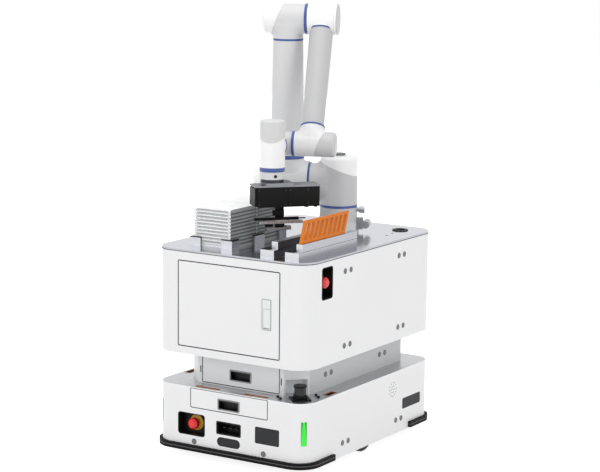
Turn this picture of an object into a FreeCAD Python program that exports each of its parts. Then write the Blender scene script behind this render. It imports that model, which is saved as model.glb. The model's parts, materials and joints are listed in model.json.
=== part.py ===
"""Mobile manipulator: a wheeled base, a tool cabinet and a six-axis arm with its gripper.

Frame: origin on the floor under the centre of the base, +X to the robot's left side panel
with the stop button, -Y to the front with the cabinet door, +Z up.  Millimetres.
"""
import FreeCAD, Part
import math
import os
import re

import Sketcher
from FreeCAD import Vector

SIZES = {
    # cabinet
    "cabinet_width": 700,
    "cabinet_depth": 980,
    "cabinet_corner": 86,
    "cabinet_low": 417,
    "cabinet_high": 398,
    "sheet_steel": 2,
    "plate_thick": 8,
    "door_width": 458,
    "door_height": 327,
    "door_low": 451,
    "door_gap": 2.5,
    "door_lip": 20,
    "hinge_radius": 5,
    "latch_width": 42,
    "latch_height": 118,
    "latch_low": 556,
    "latch_inset": 56,
    "side_recess_width": 79,
    "side_recess_height": 124,
    "side_recess_middle": -348,
    "side_stop_level": 732,
    # base
    "chassis_width": 696,
    "chassis_depth": 969,
    "chassis_corner": 78,
    "chassis_low": 36,
    "deck_level": 290,
    "deck_thick": 3,
    "cover_wall": 4,
    "bumper_reach": 13,
    "bumper_low": 39,
    "bumper_high": 23,
    "bumper_return": 290,
    "frame_level": 120,
    "frame_plate": 6,
    "frame_beam": 40,
    "fit_gap": 0.3,
    "run_gap": 1.5,
    "flap_width": 350,
    "flap_low": 212,
    "handle_width": 100,
    "handle_height": 44,
    "handle_depth": 24,
    "stop_recess_width": 127,
    "stop_recess_height": 88,
    "stop_recess_depth": 42,
    "stop_recess_middle": 173,
    "stop_front_level": 142,
    "stop_head": 22,
    "stop_stem": 11,
    "stop_ring": 31,
    "port_width": 114,
    "port_height": 52,
    "port_low": 122,
    "port_depth": 46,
    "strip_width": 106,
    "strip_height": 36,
    "strip_low": 76,
    "window_width": 109,
    "window_height": 65,
    "window_low": 113.5,
    "window_middle": 175.5,
    "side_window_width": 146,
    "side_window_height": 44,
    "side_window_low": 124,
    "side_window_middle": 313,
    "speaker_radius": 36,
    "speaker_level": 221,
    "speaker_middle": 163,
    "speaker_hole": 2.4,
    "light_width": 22,
    "light_height": 92,
    "light_low": 127.5,
    "cap_radius": 11,
    "cap_thick": 1.2,
    "cap_spacing": 42,
    "cap_front": -200,
    "cap_rear": 210,
    "slot_length": 109,
    "slot_width": 16,
    # wheels
    "drive_radius": 80,
    "drive_width": 40,
    "drive_track": 295,
    "axle_radius": 10,
    "axle_play": 0.05,
    "motor_radius": 34,
    "motor_length": 150,
    "caster_radius": 45,
    "caster_width": 32,
    "caster_trail": 32,
    "caster_base": 330,
    # pedestal
    "pedestal_width": 536,
    "pedestal_front": 404.5,
    "pedestal_rear": 362,
    "pedestal_chamfer": 71,
    "drawer_width": 351,
    "drawer_deep": 320,
    "niche_width": 86,
    "niche_height": 62,
    "niche_depth": 46,
    "lidar_plate": 72,
    "lidar_radius": 25,
    "lidar_height": 50,
    # table fittings
    "rail_length": 418,
    "rail_front": 466,
    "rail_width": 60,
    "rail_height": 32,
    "lip_width": 27,
    "lip_height": 29,
    "lip_setback": 27,
    "rail_left": 128,
    "rail_right": 237,
    "ledge_strip": 2,
    "cassette_width": 175,
    "cassette_depth": 176,
    "cassette_height": 152,
    "cassette_left": -232,
    "cassette_front": 388,
    "cassette_space": 8,
    "cassette_wall": 14,
    "cassette_plate": 7,
    "groove_pitch": 13.5,
    "groove_height": 7,
    "groove_depth": 6,
    "groove_count": 10,
    "rib_depth": 2,
    "locator_leg": 50,
    "locator_thick": 10,
    "locator_height": 36,
    "grommet_x": 243,
    "grommet_y": 383,
    "grommet_radius": 26,
    # arm
    "arm_x": 55,
    "arm_y": 209.6,
    "arm_turn": 24,
    "base_height": 103,
    "base_foot": 98,
    "joint_ring": 10,
    "shoulder_radius": 75,
    "shoulder_height": 207.5,
    "shoulder_top": 310,
    "shoulder_reach": 112,
    "shoulder_blend": 22,
    "upper_blend": 11,
    "elbow_blend": 24,
    "forearm_blend": 12,
    "ring_thick": 8,
    "upper_low_radius": 75,
    "upper_low_end": 336,
    "upper_offset": 210,
    "upper_length": 642,
    "tube_low_radius": 68,
    "tube_high_radius": 58,
    "elbow_radius": 58,
    "elbow_end": 307,
    "elbow_face": 141,
    "forearm_offset": 73.5,
    "forearm_head_radius": 63,
    "forearm_length": 542,
    "forearm_tilt": 31,
    "forearm_high_radius": 46.5,
    "forearm_low_radius": 43,
    "wrist_radius": 48.5,
    "wrist_right": 24,
    "wrist_face": 135.5,
    "wrist_offset": 206,
    "wrist_space": 24,
    "wrist_below": 121,
    "wrist_above": 104,
    "cover_curve": 68,
    "flange_height": 28,
    # gripper
    "tool_turn": 48.5,
    "tool_box_left": 78,
    "tool_box_right": 179,
    "tool_box_half": 42,
    "tool_box_high": 77,
}

doc = FreeCAD.newDocument("MobileManipulator")
sheet = doc.addObject("Spreadsheet::Sheet", "Sizes")
for row, (name, number) in enumerate(SIZES.items(), 1):
    sheet.set(f"A{row}", name)
    sheet.set(f"B{row}", str(number))
    sheet.setAlias(f"B{row}", name)
doc.recompute()

PIECES = []
HERE = "placement(vector(0; 0; 0); rotation(vector(0; 0; 1); 0))"
AXIS_TURN = {"z": (0, 0, 1, 0), "x": (0, 1, 0, 90), "y": (1, 0, 0, -90)}


# ---- the document's own small vocabulary ----


def bound(text):
    """An expression with each size's name pointed at its cell."""
    return re.sub(
        r"[a-z][a-z_]*[a-z]",
        lambda word: "Sizes." + word.group() if word.group() in SIZES else word.group(),
        str(text),
    )


def val(text):
    """The number that an expression has now."""
    return float(sheet.evalExpression(bound(text)))


def at(x="0", y="0", z="0", turn="0", axis="0; 0; 1"):
    """A placement expression: moved to x, y, z and turned about an axis."""
    return f"placement(vector({x}; {y}; {z}); rotation(vector({axis}); {turn}))"


def add(kind, place=HERE, **sizes):
    """A primitive whose sizes and placement are bound to the sheet."""
    thing = doc.addObject(kind, kind.split("::")[1])
    for key, size in sizes.items():
        thing.setExpression(key, bound(size))
    thing.setExpression("Placement", bound(place))
    return thing


def block(x, y, z, place=HERE):
    """A box from its (low, high) pair on each axis."""
    size = {"Length": x, "Width": y, "Height": z}
    corner = at(x[0], y[0], z[0])
    spans = {key: f"({high}) - ({low})" for key, (low, high) in size.items()}
    return add("Part::Box", f"{place} * {corner}", **spans)


def rod(radius, length, spot, axis="z", place=HERE):
    """A cylinder that starts at a spot and runs along an axis."""
    vx, vy, vz, turn = AXIS_TURN[axis]
    corner = at(*spot, turn, f"{vx}; {vy}; {vz}")
    return add("Part::Cylinder", f"{place} * {corner}", Radius=radius, Height=length)


def taper(low, high, length, spot, axis="z", place=HERE):
    """A cone frustum that starts at a spot and runs along an axis."""
    vx, vy, vz, turn = AXIS_TURN[axis]
    corner = at(*spot, turn, f"{vx}; {vy}; {vz}")
    return add("Part::Cone", f"{place} * {corner}", Radius1=low, Radius2=high, Height=length)


def fuse(*parts):
    """One solid out of several."""
    joined = doc.addObject("Part::MultiFuse", "Joined")
    joined.Shapes = list(parts)
    joined.Refine = True
    return joined


def cut(base, *tools):
    """The base with the tools taken away."""
    left = doc.addObject("Part::Cut", "Left")
    left.Base = base
    left.Tool = tools[0] if len(tools) == 1 else fuse(*tools)
    return left


def common(first, second):
    """What two shapes share."""
    shared = doc.addObject("Part::MultiCommon", "Shared")
    shared.Shapes = [first, second]
    return shared


def group(*parts):
    """Separate solids kept together."""
    bundle = doc.addObject("Part::Compound", "Group")
    bundle.Links = list(parts)
    return bundle


def soften(base, radius, pick):
    """Fillet the edges that pick(edge) chooses."""
    doc.recompute()
    size = val(radius)
    chosen = [
        (number, size, size)
        for number, edge in enumerate(base.Shape.Edges, 1)
        if pick(edge)
    ]
    if not chosen:
        raise ValueError("no edge to round on " + base.Label)
    rounded = doc.addObject("Part::Fillet", "Rounded")
    rounded.Base = base
    rounded.Edges = chosen
    return rounded


def piece(label, thing):
    """Name a finished sub-part."""
    thing.Label = label
    PIECES.append(thing)
    return thing


def origin_plane(body, role):
    """One of a body's own origin planes."""
    return next(f for f in body.Origin.OriginFeatures if f.Role == role)


def new_body(place=HERE):
    """An empty body with a bound placement."""
    body = doc.addObject("PartDesign::Body", "Body")
    body.setExpression("Placement", bound(place))
    return body


def new_sketch(body, role, level="0"):
    """A sketch on an origin plane, lifted along the plane's normal."""
    sketch = body.newObject("Sketcher::SketchObject", "Sketch")
    sketch.AttachmentSupport = [(origin_plane(body, role), "")]
    sketch.MapMode = "FlatFace"
    sketch.setExpression("AttachmentOffset.Base.z", bound(level))
    return sketch


def pin_point(sketch, shape, point, x, y):
    """Hold a point of the sketch at two bound distances from its origin."""
    for kind, text in (("DistanceX", x), ("DistanceY", y)):
        number = sketch.addConstraint(
            Sketcher.Constraint(kind, -1, 1, shape, point, val(text))
        )
        sketch.setExpression(f"Constraints[{number}]", bound(text))


def circle(sketch, x, y, radius):
    """A circle in a sketch."""
    shape = sketch.addGeometry(
        Part.Circle(Vector(val(x), val(y), 0), Vector(0, 0, 1), val(radius))
    )
    number = sketch.addConstraint(Sketcher.Constraint("Radius", shape, val(radius)))
    sketch.setExpression(f"Constraints[{number}]", bound(radius))
    pin_point(sketch, shape, 3, x, y)


def outline(sketch, points):
    """A closed outline through (x, y) points; a third value rounds its corner."""
    count = len(points)
    spots = [Vector(val(p[0]), val(p[1]), 0) for p in points]
    radii = [val(p[2]) if len(p) > 2 else 0 for p in points]
    enter, leave, arcs = [], [], {}
    for i in range(count):
        back = (spots[i - 1] - spots[i]).normalize()
        ahead = (spots[(i + 1) % count] - spots[i]).normalize()
        half = back.getAngle(ahead) / 2
        trim = radii[i] / math.tan(half)
        enter.append(spots[i] + back * trim)
        leave.append(spots[i] + ahead * trim)
        if radii[i]:
            inward = (back + ahead).normalize()
            middle = spots[i] + inward * (radii[i] / math.sin(half) - radii[i])
            arcs[i] = Part.Arc(enter[i], middle, leave[i])
    lines = [
        sketch.addGeometry(Part.LineSegment(leave[i], enter[(i + 1) % count]))
        for i in range(count)
    ]
    for i in range(count):
        before, after = lines[i - 1], lines[i]
        if i not in arcs:
            sketch.addConstraint(Sketcher.Constraint("Coincident", before, 2, after, 1))
            pin_point(sketch, after, 1, *points[i][:2])
            continue
        arc = sketch.addGeometry(arcs[i])
        starts_here = sketch.getPoint(arc, 1).distanceToPoint(enter[i]) < 1e-4
        first, last = (1, 2) if starts_here else (2, 1)
        sketch.addConstraint(Sketcher.Constraint("Tangent", before, 2, arc, first))
        sketch.addConstraint(Sketcher.Constraint("Tangent", arc, last, after, 1))
        number = sketch.addConstraint(Sketcher.Constraint("Radius", arc, radii[i]))
        sketch.setExpression(f"Constraints[{number}]", bound(points[i][2]))
        corner = sketch.addGeometry(Part.Point(spots[i]), True)
        sketch.addConstraint(Sketcher.Constraint("PointOnObject", corner, 1, before))
        sketch.addConstraint(Sketcher.Constraint("PointOnObject", corner, 1, after))
        pin_point(sketch, corner, 1, *points[i][:2])


def rectangle(sketch, x, y, radius=None):
    """A rectangle from (low, high) pairs, with round corners if a radius is given."""
    corner = () if radius is None else (radius,)
    spots = ((x[0], y[0]), (x[1], y[0]), (x[1], y[1]), (x[0], y[1]))
    outline(sketch, [spot + corner for spot in spots])


def feature(body, kind, sketch, amount=None, **more):
    """A sketch-based feature such as PartDesign::Pad, with its length bound."""
    made = body.newObject("PartDesign::" + kind, kind)
    made.Profile = sketch
    if amount is not None:
        made.setExpression("Length", bound(amount))
    for key, value in more.items():
        setattr(made, key, value)
    return made


def pad(body, role, level, length, draw):
    """Pad what draw(sketch) draws on a plane, along the plane's normal."""
    sketch = new_sketch(body, role, level)
    draw(sketch)
    return feature(body, "Pad", sketch, length)


def pocket(body, role, level, depth, draw):
    """Pocket what draw(sketch) draws, against the plane's normal."""
    sketch = new_sketch(body, role, level)
    draw(sketch)
    return feature(body, "Pocket", sketch, depth)


def turned(points, place=HERE):
    """A body revolved about its own Z from a (radius, height) outline."""
    body = new_body(place)
    sketch = new_sketch(body, "XZ_Plane")
    outline(sketch, points)
    feature(body, "Revolution", sketch, ReferenceAxis=(sketch, ["V_Axis"]), Angle=360.0)
    return body


def slab(points, low, high, place=HERE):
    """A body padded between two levels from an outline seen from above."""
    body = new_body(place)
    pad(body, "XY_Plane", low, f"({high}) - ({low})", lambda sk: outline(sk, points))
    return body


def both(size):
    """The pair of bounds of a span centred on zero."""
    return (f"-({size}) / 2", f"({size}) / 2")


def span(middle, size):
    """The pair of bounds of a span about a middle."""
    return (f"({middle}) - ({size}) / 2", f"({middle}) + ({size}) / 2")


def plan(width, depth, corner, inset="0"):
    """A rounded rectangle seen from above, drawn in by an inset."""
    x = both(f"{width} - 2 * ({inset})")
    y = both(f"{depth} - 2 * ({inset})")
    radius = f"{corner} - ({inset})"
    return [(x[0], y[0], radius), (x[1], y[0], radius), (x[1], y[1], radius), (x[0], y[1], radius)]


# ---- wheeled base ----

FRONT = "chassis_depth / 2"
SIDE = "chassis_width / 2"
DECK_UNDER = "deck_level - deck_thick"
CHASSIS_PLAN = ("chassis_width", "chassis_depth", "chassis_corner")
CABINET_PLAN = ("cabinet_width", "cabinet_depth", "cabinet_corner")
PLATE_LOW = "(cabinet_low + cabinet_high)"
PLATE_TOP = f"({PLATE_LOW} + plate_thick)"
SIGNS = (("-1", "-1"), ("1", "-1"), ("1", "1"), ("-1", "1"))


def corner_lamp_blocks():
    """A block through the cover at each corner, square to the corner's round."""
    reach = ("chassis_corner - 2 * cover_wall", "chassis_corner + 2 * cover_wall")
    blocks = []
    for (sx, sy), turn in zip(SIGNS, (225, 315, 45, 135)):
        centre = at(f"{sx} * ({SIDE} - chassis_corner)", f"{sy} * ({FRONT} - chassis_corner)",
                    "light_low", turn)
        blocks.append(block(reach, both("light_width"), ("0", "light_height"), centre))
    return blocks


def stop_recess_outline(sketch):
    """The front stop button's recess in the cover."""
    rectangle(sketch, span("-stop_recess_middle", "stop_recess_width"),
              span("stop_front_level", "stop_recess_height"), "12")


def port_outline(sketch):
    """The charging socket's outline on the front."""
    rectangle(sketch, both("port_width"), ("port_low", "port_low + port_height"), "6")


def sensor_strip_outline(sketch):
    """The long round-ended strip under the charging socket."""
    rectangle(sketch, both("strip_width"), ("strip_low", "strip_low + strip_height"),
              "strip_height / 2 - 0.5")


def front_window_outline(sketch):
    """The dark sensor window on the front."""
    rectangle(sketch, span("window_middle", "window_width"),
              ("window_low", "window_low + window_height"), "6")


def side_window_outline(sketch):
    """The long dark window on each side, near the rear."""
    rectangle(sketch, span("side_window_middle", "side_window_width"),
              ("side_window_low", "side_window_low + side_window_height"), "8")


def chassis_shell():
    """The white cover round the base, open where things are set into it."""
    body = new_body()
    pad(body, "XY_Plane", "chassis_low", f"{DECK_UNDER} - chassis_low",
        lambda sk: outline(sk, plan(*CHASSIS_PLAN)))
    pocket(body, "XY_Plane", DECK_UNDER, "deck_level",
           lambda sk: outline(sk, plan(*CHASSIS_PLAN, "cover_wall")))
    front = f"{FRONT} + 1"
    for draw in (stop_recess_outline, port_outline, sensor_strip_outline, front_window_outline):
        pocket(body, "XZ_Plane", front, "cover_wall + 2", draw)
    pocket(body, "XZ_Plane", front, "cover_wall + 2", lambda sk: rectangle(
        sk, both("flap_width + 2 * door_gap"), ("flap_low - door_gap", "deck_level")))
    pocket(body, "YZ_Plane", f"{SIDE} + 1", "chassis_width + 2", side_window_outline)
    pocket(body, "YZ_Plane", f"{SIDE} + 1", "chassis_width + 2",
           lambda sk: circle(sk, "speaker_middle", "speaker_level", "speaker_radius"))
    piece("chassis_shell", cut(body, *corner_lamp_blocks()))


def light_strips():
    """Four lamp strips that follow the corners and stand a little proud."""
    ring = new_body()
    pad(ring, "XY_Plane", "light_low", "light_height",
        lambda sk: outline(sk, plan(*CHASSIS_PLAN, "-1")))
    pocket(ring, "XY_Plane", "light_low + light_height", "light_height",
           lambda sk: outline(sk, plan(*CHASSIS_PLAN, "cover_wall")))
    piece("light_strips", common(ring, fuse(*corner_lamp_blocks())))


def sensor_windows():
    """The three dark windows, flush in the cover."""
    windows = []
    for role, level, draw in (
        ("XZ_Plane", f"{FRONT} - cover_wall", front_window_outline),
        ("YZ_Plane", f"{SIDE} - cover_wall", side_window_outline),
        ("YZ_Plane", f"-{SIDE}", side_window_outline),
    ):
        body = new_body()
        pad(body, role, level, "cover_wall", draw)
        windows.append(body)
    piece("sensor_windows", group(*windows))


def speaker_grilles():
    """A round perforated disc on each side."""
    discs = []
    for level in (f"{SIDE} - cover_wall", f"-{SIDE}"):
        body = new_body()
        pad(body, "YZ_Plane", level, "cover_wall",
            lambda sk: circle(sk, "speaker_middle", "speaker_level", "speaker_radius"))
        holes = new_sketch(body, "YZ_Plane", f"{level} + cover_wall")
        circle(holes, "speaker_middle", "speaker_level", "speaker_hole")
        for ring, count in ((1, 6), (2, 12)):
            for i in range(count):
                turn = 360 * i / count
                circle(holes, f"speaker_middle + speaker_radius * {ring} * 0.38 * cos({turn})",
                       f"speaker_level + speaker_radius * {ring} * 0.38 * sin({turn})",
                       "speaker_hole")
        feature(body, "Pocket", holes, "cover_wall")
        discs.append(body)
    piece("speaker_grilles", group(*discs))


def charging_port():
    """The deep charging socket with its contacts, and the strip below it."""
    socket = new_body()
    pad(socket, "XZ_Plane", f"{FRONT} - port_depth", "port_depth", port_outline)
    pocket(socket, "XZ_Plane", FRONT, "port_depth - 4", lambda sk: rectangle(
        sk, both("port_width - 10"), ("port_low + 5", "port_low + port_height - 5"), "4"))
    contacts = [
        block(span(middle, "10"), (f"-{FRONT} + 14", f"-{FRONT} + port_depth - 4"),
              span("port_low + port_height / 2", "5"))
        for middle in ("-28", "0", "28")
    ]
    strip = new_body()
    pad(strip, "XZ_Plane", f"{FRONT} - cover_wall", "cover_wall", sensor_strip_outline)
    pocket(strip, "XZ_Plane", FRONT, "1.5", lambda sk: rectangle(
        sk, both("strip_width - 12"), ("strip_low + 6", "strip_low + strip_height - 6"),
        "strip_height / 2 - 6.5"))
    piece("charging_port", group(socket, *contacts, strip))


def deck_plate():
    """The polished deck with its slots and the cable opening under the pedestal."""
    sheet_body = slab(plan(*CHASSIS_PLAN), DECK_UNDER, "deck_level")
    cable = block(both("240"), both("320"), (f"{DECK_UNDER} - 1", "deck_level + 1"))
    openings = deck_slots("0", "deck_level - 2 * deck_thick", "deck_level + 1")
    piece("deck_plate", cut(sheet_body, cable, *openings))


def deck_slots(inset, low, high):
    """The four slots in the deck as blocks, drawn in by an inset."""
    spots = []
    for sign in ("-1", "1"):
        spots.append((f"{sign} * 112", f"-{FRONT} + 23", "slot_length", "slot_width"))
        spots.append((f"{sign} * 322", "-273", "28", "66"))
    return [
        block(span(x, f"{wide} - 2 * ({inset})"), span(y, f"{deep} - 2 * ({inset})"), (low, high))
        for x, y, wide, deep in spots
    ]


def deck_slot_trims():
    """A thin orange frame in each deck slot."""
    outers = deck_slots("0", DECK_UNDER, "deck_level + 0.6")
    inners = deck_slots("2.5", f"{DECK_UNDER} - 1", "deck_level + 2")
    frames = [cut(outer, inner) for outer, inner in zip(outers, inners)]
    piece("deck_slot_trims", group(*frames))


def bumpers():
    """Two rubber strips that wrap the front and the rear below the cover's edge."""
    ring = new_body()
    pad(ring, "XY_Plane", "bumper_low", "bumper_high",
        lambda sk: outline(sk, plan(*CHASSIS_PLAN, "-bumper_reach")))
    pocket(ring, "XY_Plane", "bumper_low + bumper_high", "bumper_high",
           lambda sk: outline(sk, plan(*CHASSIS_PLAN)))
    middle = block(both("2 * chassis_width"), both("2 * bumper_return"),
                   ("bumper_low", "bumper_low + bumper_high"))
    piece("bumpers", cut(ring, middle))


def chassis_frame():
    """The welded frame: floor plate, posts, top beams and the wheel brackets."""
    top = DECK_UNDER
    plate_top = "frame_level + frame_plate"
    post_x = f"{SIDE} - 60"
    post_y = f"{FRONT} - 90"
    floor = slab(plan(*CHASSIS_PLAN, "cover_wall + fit_gap"), "frame_level", plate_top)
    parts = [floor]
    for sx, sy in SIGNS:
        parts.append(block(span(f"{sx} * ({post_x})", "frame_beam"),
                           span(f"{sy} * ({post_y})", "frame_beam"), (plate_top, top)))
    for sign in ("-1", "1"):
        parts.append(block(span(f"{sign} * ({post_x})", "frame_beam"),
                           both(f"2 * ({post_y})"), (f"{top} - 30", top)))
        parts.append(block(both(f"2 * ({post_x})"),
                           span(f"{sign} * ({post_y})", "frame_beam"), (f"{top} - 30", top)))
        parts.append(block(span(f"{sign} * (drive_track - drive_width / 2 - 7)", "8"),
                           both("90"), ("drive_radius - 40", "frame_level + 1")))
    wells = [block(("-stop_recess_middle - stop_recess_width / 2 - 2", "port_width / 2 + 2"),
                   (f"-{FRONT}", f"-{FRONT} + stop_recess_depth + 14"),
                   ("frame_level - 1", f"{plate_top} + 1"))]
    for sign in ("-1", "1"):
        wells.append(block(span(f"{sign} * drive_track", "drive_width + 12"),
                           both("2 * drive_radius"), ("frame_level - 1", f"{plate_top} + 1")))
        wells.append(rod("axle_radius + 0.5", "20",
                         (f"{sign} * (drive_track - drive_width / 2 - 7) - 10", "0", "drive_radius"),
                         "x"))
    piece("chassis_frame", cut(fuse(*parts), *wells))


def drive_gearmotors():
    """A gear motor behind each drive wheel, with the shaft that carries the wheel."""
    motors = []
    for turn in ("0", "180"):
        place = at(turn=turn)
        face = "drive_track - drive_width / 2 - 11"
        case = rod("motor_radius", "motor_length - 40", (f"{face} - motor_length", "0", "drive_radius"),
                   "x", place)
        gearbox = rod("motor_radius - 4", "40", (f"{face} - 40", "0", "drive_radius"), "x", place)
        shaft = rod("axle_radius", "drive_width + 14", (face, "0", "drive_radius"), "x", place)
        hanger = block((f"{face} - motor_length + 10", f"{face} - 50"), both("50"),
                       ("drive_radius", "frame_level"), place)
        motors.append(fuse(case, gearbox, shaft, hanger))
    piece("drive_gearmotors", group(*motors))


def drive_wheels():
    """Each drive wheel: a spoked hub that runs on the shaft and its rubber tyre."""
    for label, turn in (("drive_wheel_left", "180"), ("drive_wheel_right", "0")):
        place = at(turn=turn) + " * " + at("drive_track - drive_width / 2", "0", "drive_radius",
                                           "90", "0; 1; 0")
        bore = "axle_radius + axle_play"
        rim = "drive_radius - 14"
        hub = turned([(bore, "0"), ("24", "0"), ("30", "8"), (f"{rim} - 8", "8"), (rim, "3"),
                      (rim, "drive_width - 3"), (f"{rim} - 8", "drive_width - 8"),
                      ("30", "drive_width - 8"), ("24", "drive_width"), (bore, "drive_width")],
                     place)
        tyre = turned([(rim, "3"), ("drive_radius", "3", "4"),
                       ("drive_radius", "drive_width - 3", "4"), (rim, "drive_width - 3")], place)
        piece(label, group(hub, tyre))


def casters():
    """A swivel caster front and rear: the fork turns under the floor, the wheel in the fork."""
    for label, sign in (("front", "-1"), ("rear", "1")):
        place = at("0", f"{sign} * caster_base", "0")
        wheel_y = "caster_trail"
        cheek = "caster_width / 2 + run_gap"
        head = rod("28", "8 - fit_gap", ("0", "0", "frame_level - 8"), "z", place)
        crown = block(both("2 * (caster_width / 2 + run_gap + 5)"), ("-20", "caster_trail + 14"),
                      ("2 * caster_radius + 3", "frame_level - 7"), place)
        cheeks = []
        for side in ("-1", "1"):
            low = f"{side} * ({cheek} + 2.5)"
            cheeks.append(block(span(low, "5"), ("caster_trail - 14", "caster_trail + 14"),
                                ("caster_radius - 14", "2 * caster_radius + 4"), place))
        pin = rod("5", "caster_width + 2 * run_gap + 10", (f"-({cheek} + 5)", wheel_y, "caster_radius"),
                  "x", place)
        piece(f"caster_fork_{label}", fuse(head, crown, pin, *cheeks))
        wheel_place = f"{place} * " + at("-caster_width / 2", wheel_y, "caster_radius", "90", "0; 1; 0")
        piece(f"caster_wheel_{label}", turned(
            [("5 + axle_play", "0"), ("14", "0"), ("18", "5"), ("caster_radius - 12", "5"),
             ("caster_radius - 9", "0"), ("caster_radius - 3", "0"), ("caster_radius", "6"),
             ("caster_radius", "caster_width - 6"), ("caster_radius - 3", "caster_width"),
             ("caster_radius - 9", "caster_width"), ("caster_radius - 12", "caster_width - 5"),
             ("18", "caster_width - 5"), ("14", "caster_width"), ("5 + axle_play", "caster_width")],
            wheel_place))


def battery_pack():
    """The traction battery on the frame's floor."""
    low = "frame_level + frame_plate"
    case = block(both("240"), ("110", "390"), (low, f"{low} + 130"))
    case = soften(case, "8", lambda edge: abs(edge.tangentAt(edge.FirstParameter).z) > 0.9)
    piece("battery_pack", case)


def stop_button(label, place):
    """A mushroom stop button: the head over a stem that passes its ring and floor."""
    piece(label, turned(
        [("0", "-12"), ("stop_stem", "-12"), ("stop_stem", "12"), ("stop_head - 4", "12"),
         ("stop_head", "17", "2"), ("stop_head", "31", "5"), ("stop_head - 9", "39", "6"),
         ("0", "39")], place))


def stop_housing(label, place, width, height):
    """A black recess for a stop button, with the yellow ring on its floor.

    In its own frame the recess opens along +Z and its floor's top is at zero.
    """
    depth = "stop_recess_depth"
    case = new_body(place)
    pad(case, "XY_Plane", "-3", depth, lambda sk: rectangle(sk, both(width), both(height), "12"))
    pocket(case, "XY_Plane", f"{depth} - 3", f"{depth} - 3", lambda sk: rectangle(
        sk, both(f"{width} - 6"), both(f"{height} - 6"), "9"))
    pocket(case, "XY_Plane", "0", "3", lambda sk: circle(sk, "0", "0", "stop_stem + 0.5"))
    hole = "stop_stem + 0.5"
    ring = turned([(hole, "0"), ("stop_ring", "0"), ("stop_ring", "3", "1"), (f"{hole} + 5", "7"),
                   (hole, "7")], place)
    piece(label, group(case, ring))


FRONT_STOP = at("-stop_recess_middle", f"-{FRONT} + stop_recess_depth - 3", "stop_front_level",
                "90", "1; 0; 0")
SIDE_STOP = at("cabinet_width / 2 - stop_recess_depth + 3", "side_recess_middle",
               "side_stop_level", "90", "0; 1; 0")


def service_flap():
    """The flap over the front of the base, hinged along its lower edge, and its pull."""
    low = "flap_low"
    high = f"{DECK_UNDER} - door_gap"
    body = new_body()
    pad(body, "XZ_Plane", f"{FRONT} - cover_wall", "cover_wall",
        lambda sk: rectangle(sk, both("flap_width"), (low, high)))
    pad(body, "XZ_Plane", f"{FRONT} - 14", "14 - cover_wall", lambda sk: rectangle(
        sk, both("flap_width - 20"), ("flap_low + 8", f"{high} - 6")))
    handle_hole(body, FRONT, f"flap_low + 6")
    piece("service_flap", body)
    handle("flap_handle", FRONT, "flap_low + 6")


def handle_hole(body, front, low):
    """The opening for a recessed pull in a panel whose face is at -front."""
    pocket(body, "XZ_Plane", f"{front} + 1", "handle_depth + 8", lambda sk: rectangle(
        sk, both("handle_width"), (low, f"{low} + handle_height"), "5"))


def handle(label, front, low):
    """A recessed pull: a bezel with an undercut finger pocket."""
    body = new_body()
    pad(body, "XZ_Plane", f"{front} - handle_depth", "handle_depth + 1.5", lambda sk: rectangle(
        sk, both("handle_width"), (low, f"{low} + handle_height"), "5"))
    pocket(body, "XZ_Plane", f"{front} + 1.5", "handle_depth - 1.5", lambda sk: rectangle(
        sk, both("handle_width - 14"), (f"{low} + 6", f"{low} + handle_height - 8"), "3"))
    piece(label, body)


# ---- pedestal ----


def pedestal_plan(inset):
    """The pedestal from above: three corners cut at 45 degrees, drawn in by an inset."""
    half = f"(pedestal_width / 2 - ({inset}))"
    front = f"(pedestal_front - ({inset}))"
    rear = f"(pedestal_rear - ({inset}))"
    trim = f"(pedestal_chamfer - ({inset}) * 0.586)"
    return [
        (f"{half} - {trim}", f"-{front}"),
        (half, f"-{front} + {trim}"),
        (half, rear),
        (f"-{half} + {trim}", rear),
        (f"-{half}", f"{rear} - {trim}"),
        (f"-{half}", f"-{front} + {trim}"),
        (f"-{half} + {trim}", f"-{front}"),
    ]


LIDAR_CORNERS = (
    at("pedestal_width / 2 - pedestal_chamfer / 2", "-pedestal_front + pedestal_chamfer / 2",
       "deck_level", "45"),
    at("-pedestal_width / 2 + pedestal_chamfer / 2", "pedestal_rear - pedestal_chamfer / 2",
       "deck_level", "225"),
)


def niche(place, grow, reach):
    """The tapered niche behind a scanner as a solid, grown by a wall."""
    wedge = doc.addObject("Part::Wedge", "Niche")
    wall = f"({grow})"
    for key, size in {
        "Xmin": f"-niche_width / 2 - {wall}", "Xmax": f"niche_width / 2 + {wall}",
        "Ymin": f"-({reach})", "Ymax": f"niche_depth + {wall}",
        "Zmin": "0", "Zmax": f"niche_height + {wall}",
        "X2min": f"-niche_width / 2 + 10 - {wall}", "X2max": f"niche_width / 2 - 10 + {wall}",
        "Z2min": "0", "Z2max": f"niche_height - 12 + {wall}",
    }.items():
        wedge.setExpression(key, bound(size))
    wedge.setExpression("Placement", bound(place))
    return wedge


def pedestal_shell():
    """The sheet-steel pedestal between the deck and the cabinet."""
    body = new_body()
    height = "cabinet_low - deck_level"
    pad(body, "XY_Plane", "deck_level", height, lambda sk: outline(sk, pedestal_plan("0")))
    pocket(body, "XY_Plane", "cabinet_low", height,
           lambda sk: outline(sk, pedestal_plan("sheet_steel")))
    pocket(body, "XZ_Plane", "pedestal_front + 1", "sheet_steel + 2", lambda sk: rectangle(
        sk, both("drawer_width + 2 * door_gap"), ("deck_level + 4", "cabinet_low - 4")))
    walls = [common(niche(place, "sheet_steel", "0"),
                    slab(pedestal_plan("0"), "deck_level", "cabinet_low"))
             for place in LIDAR_CORNERS]
    hollows = [niche(place, "0", "1") for place in LIDAR_CORNERS]
    catches = [block(span(f"{sign} * (drawer_width / 2 + 10)", "5"),
                     ("-pedestal_front - 1", "-pedestal_front + sheet_steel + 1"), ("330", "357"))
               for sign in ("-1", "1")]
    piece("pedestal_shell", cut(fuse(body, *walls), *hollows, *catches))


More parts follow.
